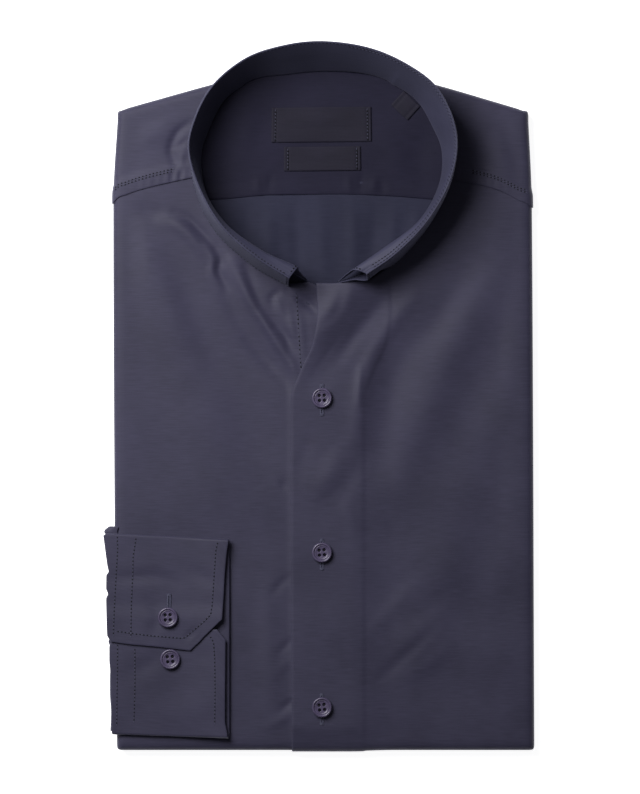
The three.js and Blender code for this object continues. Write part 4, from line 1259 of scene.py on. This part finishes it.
def make_camera():
    data = bpy.data.cameras.new("camera")
    data.sensor_fit = "VERTICAL"
    data.sensor_height = SENSOR_HEIGHT
    data.sensor_width = SENSOR_HEIGHT * PHOTO_WIDTH / PHOTO_HEIGHT
    data.lens = SENSOR_HEIGHT * CAMERA_HEIGHT / FRAME_HEIGHT
    data.clip_end = 20
    camera = bpy.data.objects.new("camera", data)
    camera.location = (FRAME_MIDDLE[0] * MM, FRAME_MIDDLE[1] * MM, CAMERA_HEIGHT * MM)
    bpy.context.scene.collection.objects.link(camera)
    bpy.context.scene.camera = camera


def make_light():
    """A soft box at the upper left, turned to the middle of the shirt."""
    data = bpy.data.lights.new("key", "AREA")
    data.shape = "SQUARE"
    data.size = KEY_LIGHT["size"]
    data.energy = KEY_LIGHT["power"]
    light = bpy.data.objects.new("key", data)
    light.location = KEY_LIGHT["where"]
    aim = -Vector(KEY_LIGHT["where"])
    light.rotation_euler = aim.to_track_quat("-Z", "Y").to_euler()
    bpy.context.scene.collection.objects.link(light)


def make_stage():
    side, below = FLOOR_REACH, FLOOR_LEVEL
    points = [(-side, -side, below), (side, -side, below), (side, side, below), (-side, side, below)]
    floor = make_object("floor", points, [(0, 1, 2, 3)])
    floor.data.materials.append(floor_material())
    world = bpy.data.worlds.new("studio")
    world.use_nodes = True
    background = world.node_tree.nodes["Background"].inputs
    background["Color"].default_value = (*SKY["colour"], 1)
    background["Strength"].default_value = SKY["strength"]
    bpy.context.scene.world = world
    bpy.context.scene.view_settings.view_transform = "Standard"
    make_light()


# Building

def finish_piece(piece, material, nodes):
    piece.data.materials.append(material)
    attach(piece, "root")
    if nodes:
        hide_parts(*nodes)
    return piece


def body_stitches(threads):
    """Rows along the yoke seams and the button stand."""
    for seam, side in ((YOKE_SEAM_LEFT, "left"), (YOKE_SEAM_RIGHT, "right")):
        for above in SHOULDER_ROWS:
            u = np.linspace(*SHOULDER_ROW_ENDS[side], 60)
            v = reading(seam, "x", "y", u) + above
            threads.row(*on_panel(yoke_level, u, v))
    v = np.linspace(STAND_ROW["top"], STAND_ROW["bottom"], 60)
    u = STAND_ROW["x"] + (STAND_ROW["top"] - v) * STAND_ROW["lean"]
    threads.row(*on_panel(right_front_level, u, v), length=1.5, gap=1.0)


def collar_stitches(threads, grid, top_row):
    """Rows along the top edge of both plies, along the foot, and down the two front ends."""
    first, second = RIDGE_QUARTER + STITCH_FROM_RIDGE, RIDGE_QUARTER + SECOND_STITCH
    halfway = int(0.53 * grid.shape[1])
    for side, distance, start in (("leaf", first, 3), ("leaf", second, halfway),
                                  ("stand", first, 3), ("stand", -FOOT_STITCH, 3)):
        points, normals = band_line(grid, top_row, side, distance)
        threads.row(points[start:-3], normals[start:-3])
    normal = directions(grid)[2]
    for column in (1, -2):
        for rows in (slice(top_row + 5, -3), slice(3, top_row - 5)):
            threads.row(grid[rows, column], normal[rows, column])


def cuff_stitches(threads):
    for layer, lines in ((2, OVER_STITCHES), (0, UNDER_STITCHES)):
        for line in lines:
            points = on_cuff(layer, *evenly(line, 0.8).T)
            threads.row(points, np.broadcast_to(UP, points.shape))


def buttonholes(threads):
    """Satin-sewn slits that show just past the buttons."""
    spots = [(x, y - BUTTONHOLE_BELOW,
              on_panel(left_front_level, np.array([x]), np.array([y]))[0][0, 2])
             for x, y in FRONT_BUTTONS]
    cuff_x, cuff_y = CUFF_HOLE
    spots.append((cuff_x, cuff_y, on_cuff(2, np.array([cuff_x]), np.array([cuff_y]))[0, 2]))
    hole = BUTTONHOLE
    half = hole["length"] / 2
    for x, y, z in spots:
        for side in (-1, 1):
            for at in np.linspace(y - half, y + half, hole["stitches"]):
                threads.strand(np.array([x + side * hole["slit"], at, z]),
                               np.array([x + side * hole["reach"], at + hole["lean"], z]),
                               UP, hole["thread"], hole["lift"])
        for end_y in (y - hole["bar_at"], y + hole["bar_at"]):
            for shift in hole["bar_rows"]:
                threads.strand(np.array([x - hole["bar"], end_y + shift, z]),
                               np.array([x + hole["bar"], end_y + shift, z]),
                               UP, hole["thread"], hole["bar_lift"])


def button_threads(threads, spots):
    """Thread that fills the buttons' holes, made nearly black as painted shade of the holes."""
    long = HOLE_REACH + HOLE_THREADS["past"]
    for x, y, z, turn in spots:
        for side in (-1, 1):
            for shift in HOLE_THREADS["shifts"]:
                across = side * HOLE_REACH + shift
                start, end = (np.array([*placed(across, v, x, y, turn), z + HOLE_THREAD_HEIGHT])
                              for v in (-long, long))
                threads.strand(start, end, UP, HOLE_THREADS["radius"], HOLE_THREADS["lift"])


def label_stitches(threads):
    """A row across each end of the two larger labels."""
    for _, _, x, y, width, depth, turn in LABELS[:2]:
        for side in (-1, 1):
            v = np.linspace(-depth / 2 + 0.6, depth / 2 - 0.6, 20)
            u = np.full(20, side * (width / 2 - LABEL_SEWN))
            points = on_label(u, v, x, y, turn, LABEL_LIFT + 0.33)
            threads.row(points, np.broadcast_to(UP, points.shape), length=1.3, gap=0.7)


make_camera()
make_stage()

cloths = {name: cloth_material(name, *values) for name, values in CLOTHS.items()}
# The nearly black cloth is painted shade for needle holes and button holes
poplin, thread, hole_shade = (cloths[name] for name in ("navy poplin", "sewing thread", "hole painted shade"))
resin = resin_material()

core = finish_piece(hidden_layers(), poplin, ["folded_layers"])
right = finish_piece(right_front(), poplin, ["front_right"])
left = finish_piece(left_front(), poplin, ["front_left"])
yoke = finish_piece(yoke_outer(), poplin, ["yoke"])
inner_yoke, back = inside_panels()
# The inside yoke and the back get darker copies of the poplin as painted shade
finish_piece(inner_yoke, cloths["inside yoke poplin painted shade"], ["yoke_inside"])
finish_piece(back, cloths["back poplin painted shade"], ["back_panel"])

band_grid, band_places, top_row = collar_band()
# The collar band's cloth is the lightened copy of the poplin: painted highlight
band = finish_piece(shell("collar_band_cloth", band_grid, FUSED, band_places),
                    cloths["fused poplin painted highlight"], ["collar_stand", "collar_leaf"])
cuff_points, cuff_places = cuff_grid()
cuff = finish_piece(shell("cuff_cloth", cuff_points, CUFF_WALL, cuff_places),
                    poplin, ["cuff"])
sleeve_points, sleeve_places = sleeve_grid()
sleeve = finish_piece(shell("sleeve_cloth", sleeve_points, CLOTH, sleeve_places),
                      poplin, ["sleeve"])

button_spots = []
for number, (x, y) in enumerate(FRONT_BUTTONS, 1):
    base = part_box(f"front_button_{number}")[0].z / MM
    button_spots.append((x, y, base, BUTTON_TURN * number))
    finish_piece(button_object(f"front_resin_button_{number}", *button_spots[-1]),
                 resin, [f"front_button_{number}"])
for number, (x, y) in enumerate(CUFF_BUTTONS, 1):
    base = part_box(f"cuff_button_{number}")[0].z / MM
    button_spots.append((x, y, base, BUTTON_TURN * number))
    finish_piece(button_object(f"cuff_resin_button_{number}", *button_spots[-1]),
                 resin, [f"cuff_button_{number}"])

for solid, piece_name, *shape in LABELS:
    finish_piece(label_object(piece_name, *shape),
                              cloths["woven tape"], [solid])

pits = []
for name, sew, details, material, slot in (
        ("body_stitches", body_stitches, (), thread, "shirt_cloth"),
        ("collar_stitches", collar_stitches, (band_grid, top_row), thread, "collar_cloth"),
        ("cuff_stitches", cuff_stitches, (), thread, "collar_cloth"),
        ("buttonholes", buttonholes, (), thread, "shirt_cloth"),
        ("button_threads", button_threads, (button_spots,), hole_shade, "button_resin"),
        ("label_stitches", label_stitches, (), thread, "label_tape")):
    threads = Threads()
    sew(threads, *details)
    finish_piece(threads.make(name), material, [])
    pits += threads.pits
# Nearly black discs between the stitches as painted shade of the needle holes
finish_piece(needle_hole_shade(pits), hole_shade, [])
